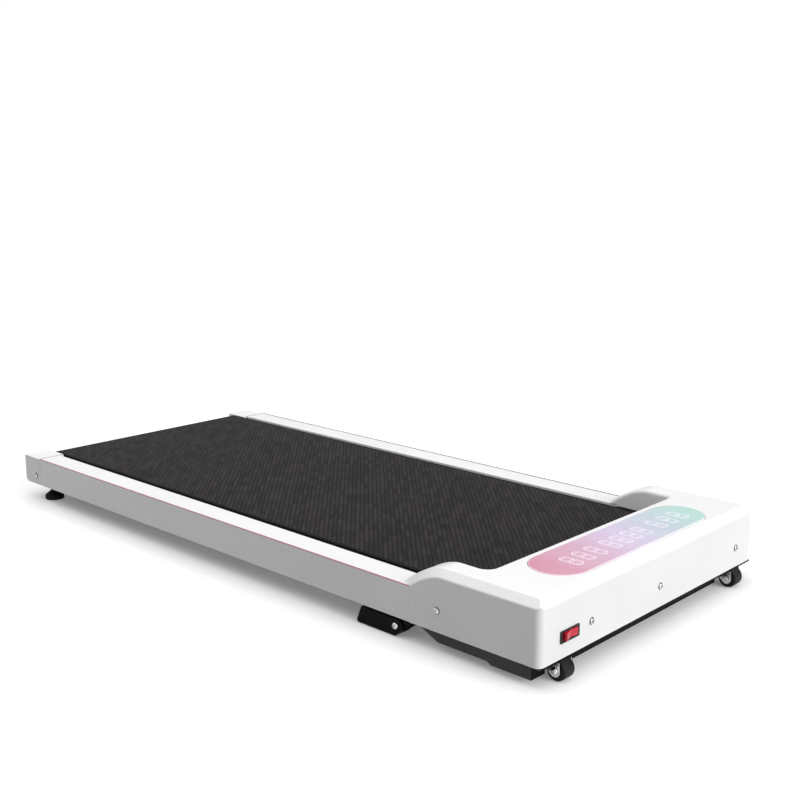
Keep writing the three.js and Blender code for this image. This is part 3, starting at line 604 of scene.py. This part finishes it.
def cover_block(inset):
    """The cover's whole block, shrunk by an inset, reaching below the floor."""
    top = COVER_TOP - inset
    chamfer = CHAMFER - inset * (2 - math.sqrt(2))
    radius = COVER_ROUND - inset
    half = HALF_WIDTH - inset
    front = FRONT_Y + inset
    beyond, below = 60, -40
    (end_y, end_z), (bend_y, _), (start_y, _) = NOSE_CURVE
    # The unit normal at the wing's end, and the bend's move for each millimetre of inset.
    normal_y, normal_z, bend_shift = 0.63, 0.78, 0.3
    end_y -= normal_y * inset
    steps = 28 if inset == 0 else 8
    end, bend = (end_y, end_z - normal_z * inset), (bend_y - bend_shift * inset, top)
    curve = bezier(end, bend, (start_y, top), steps)
    nose = [Vector((front - beyond, below)), Vector((end_y, below)), *curve, Vector((front - beyond, top))]

    long = 3 * chamfer
    edge = rounded([
        (half, long), (half, chamfer, CHAMFER_SOFT), (half - chamfer, 0, CHAMFER_SOFT),
        (half - long, 0), (half - long, long),
    ])[1:-2]
    sides = loft(nose, "x", [(-x, i) for x, i in edge] + [(x, i) for x, i in reversed(edge)])

    plan = prism(
        rounded([
            (-half, front, CORNER_R - inset), (half, front, CORNER_R - inset),
            (half, end_y + beyond), (-half, end_y + beyond),
        ], 12), "z", below - PAST, top + PAST,
    )
    front_edge = prism(
        rounded([
            (front, below - PAST), (end_y + beyond, below - PAST), (end_y + beyond, top),
            (front + chamfer, top, CHAMFER_SOFT), (front, top - chamfer, CHAMFER_SOFT),
        ]), "x", -half - PAST, half + PAST,
    )

    rear = COVER_REAR_Y - inset
    middle_outline = [Vector((front - beyond, below)), Vector((rear, below))]
    middle_outline += arc((rear - radius, top - radius), radius, 0, 90, 10)
    middle_outline.append(Vector((front - beyond, top)))
    middle = prism(middle_outline, "x", -half - beyond, half + beyond)
    rim = rim_arc(radius, 10)
    wing_x = WING_INNER_X + inset
    for sign in SIDES.values():
        layers = [(sign * (wing_x + x), i) for x, i in rim] + [(sign * (half + beyond), 0)]
        join(middle, [loft(nose, "x", layers), inner_corner(sign, inset, top, radius, below)])
    return common(sides, [plan, front_edge, middle])


def inner_corner(sign, inset, top, radius, below):
    """Fills the corner between a wing and the rear edge, out to an arc with a rounded rim."""
    cx = WING_INNER_X - COVER_FILLET
    cy = COVER_REAR_Y + COVER_FILLET
    r = COVER_FILLET + inset
    rim = [(r + away, top - i) for away, i in rim_arc(radius, 10)]
    profile = [(0, below - 1), (r, below - 1), *rim, (r + radius, top + PAST), (0, top + PAST)]
    scoop = turned(profile, "z", (cx, cy, 0), 96)
    reach = r + radius + 1
    return mirrored(cut(block(cx, cx + reach, cy - reach, cy, below, top), [scoop]), sign)


def window_cutter():
    """The display window, with a rounded upper edge and a fine joint round the lens."""
    ease, joint, inside_z = 0.9, 0.5, 90
    angles = [math.pi / 2 * k / 5 for k in range(6)]
    rim = [(COVER_TOP - ease + ease * math.sin(a), ease * (math.cos(a) - 1)) for a in angles]
    outline = stadium(LENS_HIGH.x + joint, (LENS_HIGH.y - LENS_LOW.y) / 2 + joint, 48)
    obj = loft(outline, "z", [(inside_z, 0), *rim, (COVER_TOP + PAST, -ease)])
    obj.data.transform(Matrix.Translation((0, DISPLAY_Y * MM, 0)))
    return obj


def motor_cover():
    """A hollow shell, open below and over the belt and the rails, with its window and holes."""
    wide = HALF_WIDTH + PAST
    end = NOSE_CURVE[0][0] + 10
    behind = COVER_REAR_Y - 6
    switch_x, _, switch_z = middle("switch_bezel")
    _, inlet_y, inlet_z = middle("power_inlet")
    switch_across, switch_up = SWITCH_HOLE
    inlet_across, inlet_up = INLET_HOLE
    before, through = FRONT_Y - 1, FRONT_Y + 4
    shell = cut(cover_block(0), [cover_block(WALL)])
    # The first four start at different depths, so that no two of them share a face.
    return cut(shell, [
        block(-wide, wide, FRONT_Y - 10, end, -50, SHELL_Z),
        block(-wide, wide, RAIL_LOW.y - GAP, end, -49, RAIL_TOP + GAP),
        block(-RAIL_LOW.x - 4, RAIL_LOW.x + 4, behind, end, -48, WING_SKIRT_Z),
        block(GAP - WING_INNER_X, WING_INNER_X - GAP, behind, COVER_REAR_Y + 10, -47, COVER_LIP_Z),
        window_cutter(),
        rod(SCREW_HOLE_R, -wide, 10 - HALF_WIDTH, "x", (0, SIDE_SCREW_Y, SCREW_Z)),
        rod(SCREW_HOLE_R, HALF_WIDTH - 10, wide, "x", (0, SIDE_SCREW_Y, SCREW_Z)),
        *[rod(SCREW_HOLE_R, before, through, "y", (x, 0, SCREW_Z)) for x in FRONT_SCREW_XS],
        block(
            switch_x - switch_across, switch_x + switch_across, before, through,
            switch_z - switch_up, switch_z + switch_up,
        ),
        block(
            HALF_WIDTH - 4, wide, inlet_y - inlet_across, inlet_y + inlet_across,
            inlet_z - inlet_up, inlet_z + inlet_up,
        ),
    ])


finish(merged(motor_cover()), "motor_cover_shell", "motor_cover", 26)


# ---- side rails, their coloured lines and the end caps ----
ACCENT_STEP = 0.9  # the rebate in the rail's outer top edge that holds the line
ACCENT_PROUD = 0.9  # how far the line stands above the rail
ACCENT_SHORT = 0.2  # how far it stops from each end of the rail
RAIL_SKIRT_Z = 53  # lower edge of the rail's inner wall


def side_rail():
    """A channel open below, with a deep outer wall and a short inner one."""
    x0, x1 = RAIL_LOW.x, RAIL_HIGH.x
    step = ACCENT_STEP
    profile = rounded([
        (x1 - WALL, SHELL_Z), (x1, SHELL_Z, 0.6), (x1, RAIL_TOP - step), (x1 - step, RAIL_TOP - step),
        (x1 - step, RAIL_TOP), (x0, RAIL_TOP, 1.1), (x0, RAIL_SKIRT_Z, 0.5), (x0 + WALL, RAIL_SKIRT_Z),
        (x0 + WALL, RAIL_TOP - WALL, 1.0), (x1 - WALL, RAIL_TOP - WALL),
    ], 5)
    return soft_prism(profile, "y", RAIL_LOW.y, RAIL_HIGH.y, 0.35, 2)


def accent_strip():
    """The thin coloured line, in its rebate."""
    x1, inner = HALF_WIDTH, HALF_WIDTH - ACCENT_STEP
    low = RAIL_TOP - ACCENT_STEP
    high = RAIL_TOP + ACCENT_PROUD
    profile = rounded([(inner, low), (x1, low), (x1, high, 0.4), (inner, high, 0.2)], 5)
    return prism(profile, "y", RAIL_LOW.y + ACCENT_SHORT, RAIL_HIGH.y - ACCENT_SHORT)


def end_cap():
    """A hollow block, open to the front, the belt and the floor, with a hole for each of its screws."""
    x0, x1, y0, y1 = CAP_LOW.x, CAP_HIGH.x, CAP_LOW.y, CAP_HIGH.y
    outside = rounded([
        (y0, SHELL_Z, 1.0), (y1 - 6, SHELL_Z, 2), (y1, SHELL_Z + 4.5, 2),
        (y1, RAIL_TOP, 1.6), (y0, RAIL_TOP, 1.0),
    ])
    before, below = y0 - PAST, 20
    open_to_y, floor_z = 552, 30.5
    inside = [
        (before, below), (open_to_y, below), (open_to_y, floor_z), (y1 - 4.6, floor_z),
        (y1 - WALL, 32.6), (y1 - WALL, RAIL_TOP - WALL), (before, RAIL_TOP - WALL),
    ]
    belt_side_y, belt_side_z = 550.5, 60.4
    eased_hole = [(0, -5), (6, -5), (6, -1), (6.2, -0.3), (7, 0.2), (7, 1), (0, 1)]
    _, screw_y, screw_z = middle("end_cap_screw_right")
    return merged(cut(soft_prism(outside, "x", x0, x1, 0.8, 4), [
        prism(inside, "x", x0 + WALL, x1 - WALL),
        block(x0 - 1, x0 + WALL + 1, before - 1, belt_side_y, below - 1, belt_side_z),
        turned(eased_hole, "y", (ADJUSTER[0], y1, ADJUSTER[1])),
        rod(SCREW_HOLE_R, x1 - WALL - 1, x1 + 1, "x", (0, screw_y, screw_z)),
    ]))


finish_pair(side_rail, "side_rail", "moulding")
for side, sign in SIDES.items():
    line = finish_extra(mirrored(accent_strip(), sign), f"accent_line_{side}", "base", "accent_line")
    # The line's inner face, seen from across the belt, gets painted shade: a darker copy of its colour.
    second_surface(line, "accent_painted_shade", lambda normal: normal.x * sign < -0.5)
for cap in finish_pair(end_cap, "end_cap", "moulding"):
    # The rounded edge along the joint with the rail gets black plastic as painted shade, so the joint reads as a
    # dark line.
    second_surface(cap, "black_plastic", lambda normal: normal.y < -0.35 and normal.z > 0.2)


# ---- running belt ----
def running_belt():
    """One loop swept along its path, with its own length and width as UV coordinates in metres."""
    thick = 1.6
    edge = 0.5
    outer = (BELT_HIGH.z - BELT_LOW.z) / 2
    middle_z = (BELT_HIGH.z + BELT_LOW.z) / 2
    radius = outer - thick
    front, rear = BELT_LOW.y + outer, BELT_HIGH.y - outer
    turn = arc((0, 0), 1, 90, -90, 48)
    path = [((rear, middle_z), d) for d in turn] + [((front, middle_z), -d) for d in turn]
    half = BELT_HIGH.x
    section = [(-half, 0), (half, 0), *arc((half - edge, thick - edge), edge, 0, 90, 4)]
    section += arc((edge - half, thick - edge), edge, 90, 180, 4)
    bm = bmesh.new()
    uv = bm.loops.layers.uv.new("belt")
    rings, lengths, length = [], [], 0.0
    for (y, z), out in path:
        points = [(x, y + out.x * (radius + h), z + out.y * (radius + h)) for x, h in section]
        ring = [bm.verts.new(Vector(point) * MM) for point in points]
        if rings:
            length += (ring[0].co - rings[-1][0].co).length
        rings.append(ring)
        lengths.append(length)
    total = length + (rings[-1][0].co - rings[0][0].co).length
    for i, ring in enumerate(rings):
        following = rings[(i + 1) % len(rings)]
        v0, v1 = lengths[i], lengths[i + 1] if i + 1 < len(rings) else total
        for k in range(len(section)):
            n = (k + 1) % len(section)
            face = bm.faces.new((ring[k], ring[n], following[n], following[k]))
            for loop, v in zip(face.loops, (v0, v0, v1, v1)):
                loop[uv].uv = (loop.vert.co.x, v)
    return new_object(bm)


finish(running_belt(), "running_belt_loop", "running_belt", 50)


# ---- display ----
DIGIT_THICK = 0.06
# A figure's height and width, its bars' width, the line that outlines them, and the gap at their ends.
DIGIT = {"tall": 33.0, "wide": 17.0, "bar": 4.4, "line": 0.8, "gap": 0.5}
# The centre of each group of digits, how many it has, and the step from one to the next.
DIGIT_GROUPS = [(104.5, 3, 27.0), (4.5, 4, 24.5), (-91.5, 3, 26.0)]
DIGITS_Y = DISPLAY_Y - 4.0


def lens():
    """A plate with a softly rounded rim, just under the digits."""
    edge = 0.9
    low, high = LENS_LOW.z, LENS_HIGH.z - DIGIT_THICK
    outline = stadium(LENS_HIGH.x, (LENS_HIGH.y - LENS_LOW.y) / 2, 48)
    layers = [(low, 0.4), (low + 0.4, 0)]
    layers += [(high - away, i) for away, i in reversed(rim_arc(edge, 6))]
    obj = loft(outline, "z", layers)
    obj.data.transform(Matrix.Translation((0, DISPLAY_Y * MM, 0)))
    return obj


def segment(bm, centre, length, upright):
    """One outlined bar with pointed ends, as a flat ring."""
    half, reach = DIGIT["bar"] / 2, length / 2 - DIGIT["gap"]

    def hexagon(inset):
        h, r = half - inset, reach - inset * math.sqrt(2)
        return [(-r, 0), (h - r, -h), (r - h, -h), (r, 0), (r - h, h), (h - r, h)]

    def ring(points, z):
        turned_points = [(v, u) if upright else (u, v) for u, v in points]
        return [bm.verts.new(Vector((centre[0] + u, centre[1] + v, z)) * MM) for u, v in turned_points]

    high, low = LENS_HIGH.z, LENS_HIGH.z - 2 * DIGIT_THICK
    outer, inner = hexagon(0), hexagon(DIGIT["line"])
    loops = [ring(outer, high), ring(inner, high), ring(inner, low), ring(outer, low)]
    for loop_a, loop_b in zip(loops, loops[1:] + loops[:1]):
        bridge(bm, loop_a, loop_b)


def digits():
    """Groups of seven-segment figures, with every bar drawn."""
    bm = bmesh.new()
    across = DIGIT["wide"] - DIGIT["bar"]
    down = (DIGIT["tall"] - DIGIT["bar"]) / 2
    for middle, count, step in DIGIT_GROUPS:
        for k in range(count):
            x = middle + (k - (count - 1) / 2) * step
            for level in (-1, 0, 1):
                segment(bm, (x, DIGITS_Y + level * down), across, False)
            for side, level in ((-1, -1), (1, -1), (-1, 1), (1, 1)):
                segment(bm, (x + side * across / 2, DIGITS_Y + level * down / 2), down, True)
    return new_object(bm)


finish(lens(), "display_lens_plate", "display_lens", 40)
finish_extra(digits(), "display_digits", "base", "digit_ink_painted_glow")


# ---- screws ----
SCREW_HEAD_R = 4.6
SCREW_HEAD_H = 2.2


def pan_head_screw():
    """Head at zero pointing along +Z, shank below it, with a cross recess."""
    angles = [math.pi / 20 * k for k in range(10)]
    rim = 0.5
    dome = [(SCREW_HEAD_R * math.cos(a), rim + (SCREW_HEAD_H - rim) * math.sin(a)) for a in angles]
    profile = [(0, -9), (2, -9), (2.4, -8.4), (2.4, 0), (SCREW_HEAD_R, 0), *dome, (0, SCREW_HEAD_H)]
    body = turned(profile, "z", (0, 0, 0), 48)
    reach, half, floor_z = 2.8, 0.55, 0.9
    arms = [soft_prism(around(a, b, 0.3), "z", floor_z, 4, 0.1) for a, b in ((reach, half), (half, reach))]
    return edged(cut(body, arms), 0.08, 2, 35)


FACING = {
    "+x": Matrix.Rotation(math.pi / 2, 4, "Y"),
    "-x": Matrix.Rotation(-math.pi / 2, 4, "Y"),
    "-y": Matrix.Rotation(math.pi / 2, 4, "X"),
}


def place_screw(node, facing, twist):
    """A screw in its node's place, with painted shade on its side and recess: darker steel there."""
    low, high = span(node)
    centre = (low + high) / 2
    axis = "xyz".index(facing[1])
    centre[axis] = high[axis] - SCREW_HEAD_H if facing[0] == "+" else low[axis] + SCREW_HEAD_H
    obj = pan_head_screw()
    obj.data.transform(Matrix.Translation(centre * MM) @ FACING[facing] @ Matrix.Rotation(twist, 4, "Z"))
    finish(obj, node + "_steel", node)
    # Painted shade on the head's side and in its recess.
    second_surface(obj, "painted_shade_steel", lambda normal: abs(normal[axis]) < 0.75)


for k, place in enumerate(["left", "middle", "right"]):
    place_screw(f"front_cover_screw_{place}", "-y", math.radians(25 + 40 * k))
for side, sign in SIDES.items():
    facing = "-x" if sign < 0 else "+x"
    place_screw(f"side_cover_screw_{side}", facing, math.radians(18))
    place_screw(f"end_cap_screw_{side}", facing, math.radians(40))


# ---- power switch ----
def at(obj, x, y, z, turn=0.0):
    """The piece turned about its Z axis and moved to a place."""
    obj.data.transform(Matrix.Translation(Vector((x, y, z)) * MM) @ Matrix.Rotation(turn, 4, "Z"))
    return obj


def switch_bezel():
    """A flange and a box behind it, with a well for the rocker."""
    low, high = span("switch_bezel")
    x, _, z = middle("switch_bezel")
    flare, depth = 0.7, 15.8
    flange_outline = around((high.x - low.x) / 2, (high.z - low.z) / 2, 1.6)
    flange = soft_prism(flange_outline, "y", low.y, low.y + 1.5, 0.6)
    body = prism(around(*SWITCH_BODY), "y", low.y + 0.8, high.y)
    layers = [(low.y - 1, -flare), (low.y, -flare), (low.y + flare, 0), (low.y + depth, 0)]
    well = loft(around(14.6, 5.1, 0.6), "y", layers)
    return at(cut(join(flange, [body]), [well]), x, 0, z)


def switch_rocker():
    """A shallow V with a rounded ridge across its middle, tilted as it rests."""
    joint = next(j for j in frame["joints"] if j["name"] == "switch_press")
    half, end_y, ridge_y, shoulder_y, half_high = 13.5, -8.2, -5.4, -2, 4.7
    profile = rounded([
        (-half, end_y, 0.8), (0, ridge_y, 0.5), (half, end_y, 0.8), (half, shoulder_y, 0.6),
        (8, 5), (-8, 5), (-half, shoulder_y, 0.6),
    ])
    body = soft_prism(profile, "z", -half_high, half_high, 0.6)
    pivot = Vector(joint["pos_m"]) / MM
    rest = -math.radians(sum(joint["range_deg"])) / 2
    return at(body, *pivot, rest)


finish(switch_bezel(), "switch_bezel_moulding", "switch_bezel")
finish(switch_rocker(), "switch_rocker_moulding", "switch_rocker")


# ---- power inlet ----
INLET_DEPTH = 15.7
PIN_LENGTH = 11
PINS = [(-7, -1.5), (0, 2), (7, -1.5)]  # along y and z from the inlet's middle


def power_inlet():
    """A flange and a box behind it, with a socket whose upper corners are cut."""
    low, high = span("power_inlet")
    x = high.x
    _, y, z = middle("power_inlet")
    body_y, body_z = INLET_BODY
    flange = soft_prism(rectangle(low.y, high.y, low.z, high.z, 2.4), "x", x - 1.4, x, 0.5)
    body = prism(rectangle(y - body_y, y + body_y, z - body_z, z + body_z), "x", low.x, x - 0.6)
    across, up, cut_y, cut_z = 11, 7.5, 7.4, 4.2
    mouth = rounded([
        (y - across, z - up, 1.2), (y + across, z - up, 1.2), (y + across, z + cut_z),
        (y + cut_y, z + up), (y - cut_y, z + up), (y - across, z + cut_z),
    ])
    return cut(join(flange, [body]), [prism(mouth, "x", x - INLET_DEPTH, x + 2)])


def inlet_pin(across, up):
    """A flat blade that stands on the socket's floor."""
    _, y, z = middle("power_inlet")
    floor = Vector((span("power_inlet")[1].x - INLET_DEPTH, y, z))
    y, z = floor.y + across, floor.z + up
    blade = rectangle(y - 1, y + 1, z - 2, z + 2, 0.4)
    return soft_prism(blade, "x", floor.x - 0.5, floor.x + PIN_LENGTH, 0.4)


finish(power_inlet(), "power_inlet_moulding", "power_inlet")
for k, place in enumerate(PINS):
    pin = inlet_pin(*place)
    finish_extra(pin, f"power_inlet_pin_{k + 1}", "base", "bright_steel")


# ---- front transport wheels ----
CASTER_LOW, CASTER_HIGH = span("caster_wheel_right")
CASTER_CENTRE = (CASTER_LOW + CASTER_HIGH) / 2
CASTER_R = (CASTER_HIGH.z - CASTER_LOW.z) / 2
CASTER_HALF = (CASTER_HIGH.x - CASTER_LOW.x) / 2
CHEEK_OUT = 12.4  # from the wheel's middle to a cheek's outer face
CHEEK = 1.4
AXLE_HOLE_R = 3.3


def tread(radius, half):
    """Points across the tyre: rounded shoulders and five fine grooves."""
    shoulder = [(1.6, 0), (0.8, 0.25), (0.25, 0.9), (0, 2.0)]  # down from the top and in from the side
    left = [(radius - down, across - half) for down, across in shoulder]
    depth, pitch = 0.35, 2.9
    bottom = radius - depth
    grooves = []
    for k in range(5):
        x = (k - 2) * pitch
        grooves += [(radius, x - 0.35), (bottom, x - 0.15), (bottom, x + 0.15), (radius, x + 0.35)]
    return left + grooves + [(r, -x) for r, x in reversed(left)]


def caster_wheel():
    """A hub with a shallow ring in each side, and a tyre round it."""
    half = CASTER_HALF
    ring = 0.5 - half
    hub = [(AXLE_HOLE_R, -half), (5.4, -half), (5.8, ring), (8.6, ring), (9.2, -half)]
    profile = [*hub, *tread(CASTER_R, half), *[(r, -x) for r, x in reversed(hub)], (AXLE_HOLE_R, -half)]
    return turned(profile, "x", CASTER_CENTRE, 96)


def caster_fork():
    """Two cheeks, round at the axle and widening up to the crown that joins them."""
    top = PAN_LIP_Z - GAP - CASTER_R
    cheek_r, front_y, rear_y = 7.5, -6.5, 22
    outline = [Vector((front_y, top)), *arc((0, 0), cheek_r, 180, 324, 24), Vector((rear_y, top))]
    cheeks = []
    for side in SIDES.values():
        outer, inner = side * CHEEK_OUT, side * (CHEEK_OUT - CHEEK)
        cheeks.append(soft_prism(outline, "x", min(outer, inner), max(outer, inner), 0.3, 2))
    crown = block(0.4 - CHEEK_OUT, CHEEK_OUT - 0.4, 9.7, 21.4, top - 1, top - 0.1)
    fork = cut(join(cheeks[0], [cheeks[1], crown]), [rod(AXLE_HOLE_R, -20, 20, "x")])
    return merged(at(fork, *CASTER_CENTRE))


def button_head(start, radius, height, direction):
    """(radius, distance) pairs of a domed bolt head that grows from a start."""
    angles = [math.pi / 16 * k for k in range(8)]
    return [(radius * math.cos(a), start + direction * height * math.sin(a)) for a in angles]


def caster_axle():
    """A bolt with a domed socket head, and a nut on its other end."""
    end = CHEEK_OUT + GAP
    profile = [(0, -end - 3.0), *reversed(button_head(-end, 4.8, 3.0, -1)), (3, -end)]
    profile += [(3, end), (4.2, end), (4.2, end + 2.8), (0, end + 2.8)]
    bolt = turned(profile, "x", (0, 0, 0), 48)
    socket = prism(arc((0, 0), 2.1, 0, 300, 5), "x", -end - 4, -end - 1.2)
    nut = soft_prism(arc((0, 0), 4.8, 0, 300, 5), "x", end, end + 2.6, 0.4)
    return at(edged(cut(join(bolt, [nut]), [socket]), 0.1, 2, 35), *CASTER_CENTRE)


def outward(obj):
    """Turns a right-hand piece about the caster's centre so that its bolt head faces out."""
    centre = CASTER_CENTRE * MM
    swap = Matrix.Translation(centre) @ Matrix.Rotation(math.pi, 4, "Z") @ Matrix.Translation(-centre)
    obj.data.transform(swap)
    return obj


finish_pair(caster_wheel, "caster_wheel", "tyre", 25)
finish_pair(caster_fork, "caster_fork", "plate")
finish_pair(lambda: outward(caster_axle()), "caster_axle", "bolt")


# ---- fold-down incline legs ----
LEG_HINGE = Vector(next(j for j in frame["joints"] if j["name"] == "incline_leg_fold_right")["pos_m"]) / MM
LEG = {  # from the hinge, but for the half width and the thickness of the plate
    "half": 13, "plate": 3, "front": 12.2, "bottom": 14.2, "top": 9.6, "top_length": 61, "length": 70.5,
}


def leg_outline(inset):
    """Seen from the side: straight top and bottom, a slanted end, and a curve before the hinge."""
    bottom, top, front = inset - LEG["bottom"], LEG["top"] - inset, inset - LEG["front"]
    top_length, length = LEG["top_length"] - inset, LEG["length"] - inset
    straight = rounded([(1.5 + 0.4 * inset, bottom), (length, bottom, 3.2), (top_length, top, 3.2), (0, top)])
    return straight + bezier((0, top), (front, top), (front, -2.6), 12)[1:]


def incline_leg():
    """A folded channel, open at the top and the front, with a notch for its bracket and a bolt hole."""
    half, plate, front, bottom = LEG["half"], LEG["plate"], LEG["front"], LEG["bottom"]
    blank = soft_prism(leg_outline(0), "x", -half, half, 0.9, 4)
    leg = cut(blank, [
        prism(leg_outline(plate), "x", plate - half, half - plate),
        block(plate - half, half - plate, -front - 1, LEG["top_length"] - 8, 0, LEG["top"] + 1),
        block(plate - half, half - plate, -front - 1, -9.2, -bottom - 1, 1),
        block(-4.6, 4.6, -front - 2, 1.8, -bottom - 2, 1.1),
        rod(AXLE_HOLE_R, -20, 20, "x"),
    ])
    return at(merged(leg), *LEG_HINGE)


def leg_bolt():
    """A hinge bolt with a domed socket head outside and a plain head inside."""
    end = LEG["half"] + GAP
    profile = [(0, -end - 3.6), (4.3, -end - 3.6), (4.6, -end - 3.2), (4.6, -end), (3, -end), (3, end)]
    profile += [*button_head(end, 4.6, 4.0, 1), (0, end + 4.0)]
    bolt = turned(profile, "x", (0, 0, 0), 48)
    socket = prism(arc((0, 0), 2.0, 0, 300, 5), "x", end + 1.6, end + 6)
    return at(edged(cut(bolt, [socket]), 0.1, 2, 35), *LEG_HINGE)


finish_pair(incline_leg, "incline_leg", "channel")
finish_pair(leg_bolt, "incline_bolt", "steel")
for side in SIDES:
    bracket = edged(copy_of(f"incline_bracket_{side}"), 0.5, 3)
    finish(bracket, f"incline_bracket_{side}_plate", f"incline_bracket_{side}")


# ---- rear levelling feet ----
FOOT_LOW, FOOT_HIGH = span("rear_foot_right")


def rear_foot():
    """Ribbed rubber pad, sloping shoulder, and a threaded stud."""
    r = (FOOT_HIGH.x - FOOT_LOW.x) / 2
    profile = [(0, 0), (r - 1.2, 0), (r - 0.4, 0.25), (r, 1.0)]
    for k in range(3):
        z = 2.2 + 1.6 * k
        profile += [(r, z - 0.35), (r - 0.4, z - 0.15), (r - 0.4, z + 0.15), (r, z + 0.35)]
    profile += [(r - 0.3, 6.9), (r - 0.9, 7.9), (r - 2.2, 8.6)]
    profile += [(8.2, 13.2), (7.2, 14.0), (6.5, 14.6), (6.5, 16)]
    z, pitch, root, crest = 16.0, 1.25, 3.5, 4.0
    while z < FOOT_HIGH.z - 1.6:
        profile += [(root, z + 0.1), (crest, z + 0.55), (crest, z + 0.7), (root, z + 1.15)]
        z += pitch
    profile += [(3.4, FOOT_HIGH.z - 0.3), (3.0, FOOT_HIGH.z), (0, FOOT_HIGH.z)]
    centre = (FOOT_LOW + FOOT_HIGH) / 2
    return turned(profile, "z", (centre.x, centre.y, 0), 96)


finish_pair(rear_foot, "rear_foot", "pad", 30)


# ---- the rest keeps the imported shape, with its edges eased ----
EASED = {
    "frame_rail_left": 0.6, "frame_rail_right": 0.6, "deck_crossmember_front": 0.6,
    "deck_crossmember_middle": 0.6, "deck_crossmember_rear": 0.6,
    "front_mounting_plate": 0.25, "running_deck": 0.4, "belly_pan": 0.6,
    "front_roller": 0.15, "rear_roller": 0.15, "front_roller_axle": 0.4, "rear_roller_axle": 0.3,
    "belt_adjuster_left": 0.15, "belt_adjuster_right": 0.15, "motor_bracket": 0.3,
}
for node, width in EASED.items():
    eased = finish(edged(copy_of(node), width, 2), node + "_eased", node)
    if node == "belly_pan":
        # Its front lip is darker and duller than the rest: painted shade under the cover's front edge.
        second_surface(eased, "black_paint", lambda normal: normal.y < -0.5)
for node, obj in frame["nodes"].items():
    obj.data.materials.clear()
    obj.data.materials.append(SURFACES[SLOT_OF[node]])


# ---- floor, light and camera ----
def floor():
    """Pale paper with a faint light of its own, so that shadows on it stay soft."""
    bm = bmesh.new()
    bmesh.ops.create_circle(bm, cap_ends=True, segments=96, radius=60.0)
    obj = new_object(bm, "floor")
    grained(
        "floor_paper", grey(0.87), grey(0.89), (0.85, 0.95), 60.0, 0.02, 0.6,
        Specular_IOR_Level=0.0, Emission_Color=(1, 1, 1, 1), Emission_Strength=0.15,
    )
    obj.data.materials.append(SURFACES["floor_paper"])
    obj.visible_diffuse = False


def sky(zenith, horizon, below):
    """A white dome, brightest overhead and dark under the floor; the camera sees it plain white."""
    world = bpy.data.worlds.new("studio")
    world.use_nodes = True
    tree = world.node_tree
    direction = wire(tree, "ShaderNodeTexCoord").outputs["Generated"]
    up = wire(tree, "ShaderNodeSeparateXYZ", {"Vector": direction})
    dome = spread(tree, up.outputs["Z"], horizon, zenith, (0.0, 1.0))
    lit = maths(tree, "GREATER_THAN", up.outputs["Z"], -0.01)
    strength = maths(tree, "MAXIMUM", maths(tree, "MULTIPLY", dome, lit), below)
    seen = wire(tree, "ShaderNodeLightPath").outputs["Is Camera Ray"]
    background = tree.nodes["Background"]
    tree.links.new(maths(tree, "MAXIMUM", strength, seen), background.inputs["Strength"])
    background.inputs["Color"].default_value = (1, 1, 1, 1)
    bpy.context.scene.world = world


def sun(name, azimuth, elevation, strength, spread_angle):
    """A wide soft light; azimuth 0 comes from the front of the machine and 90 from its right."""
    data = bpy.data.lights.new(name, "SUN")
    data.energy = strength
    data.angle = math.radians(spread_angle)
    obj = bpy.data.objects.new(name, data)
    a, e = math.radians(azimuth), math.radians(elevation)
    towards = Vector((math.sin(a) * math.cos(e), -math.cos(a) * math.cos(e), math.sin(e)))
    obj.rotation_euler = towards.to_track_quat("Z", "Y").to_euler()
    bpy.context.scene.collection.objects.link(obj)


def camera():
    """Low, in front and to the left, as in the photograph."""
    data = bpy.data.cameras.new("camera")
    data.sensor_width = 36
    data.lens = 51.70
    obj = bpy.data.objects.new("camera", data)
    obj.location = (-1.22065, -1.25820, 0.58825)
    obj.rotation_euler = (math.radians(78.0057), 0, math.radians(-46.6718))
    bpy.context.scene.collection.objects.link(obj)
    bpy.context.scene.camera = obj


floor()
sky(zenith=1.27, horizon=0.08, below=0.03)
sun("key", azimuth=6, elevation=16, strength=2.35, spread_angle=40)
sun("fill", azimuth=180, elevation=45, strength=0.5, spread_angle=60)
camera()
bpy.context.scene.view_settings.view_transform = "Standard"
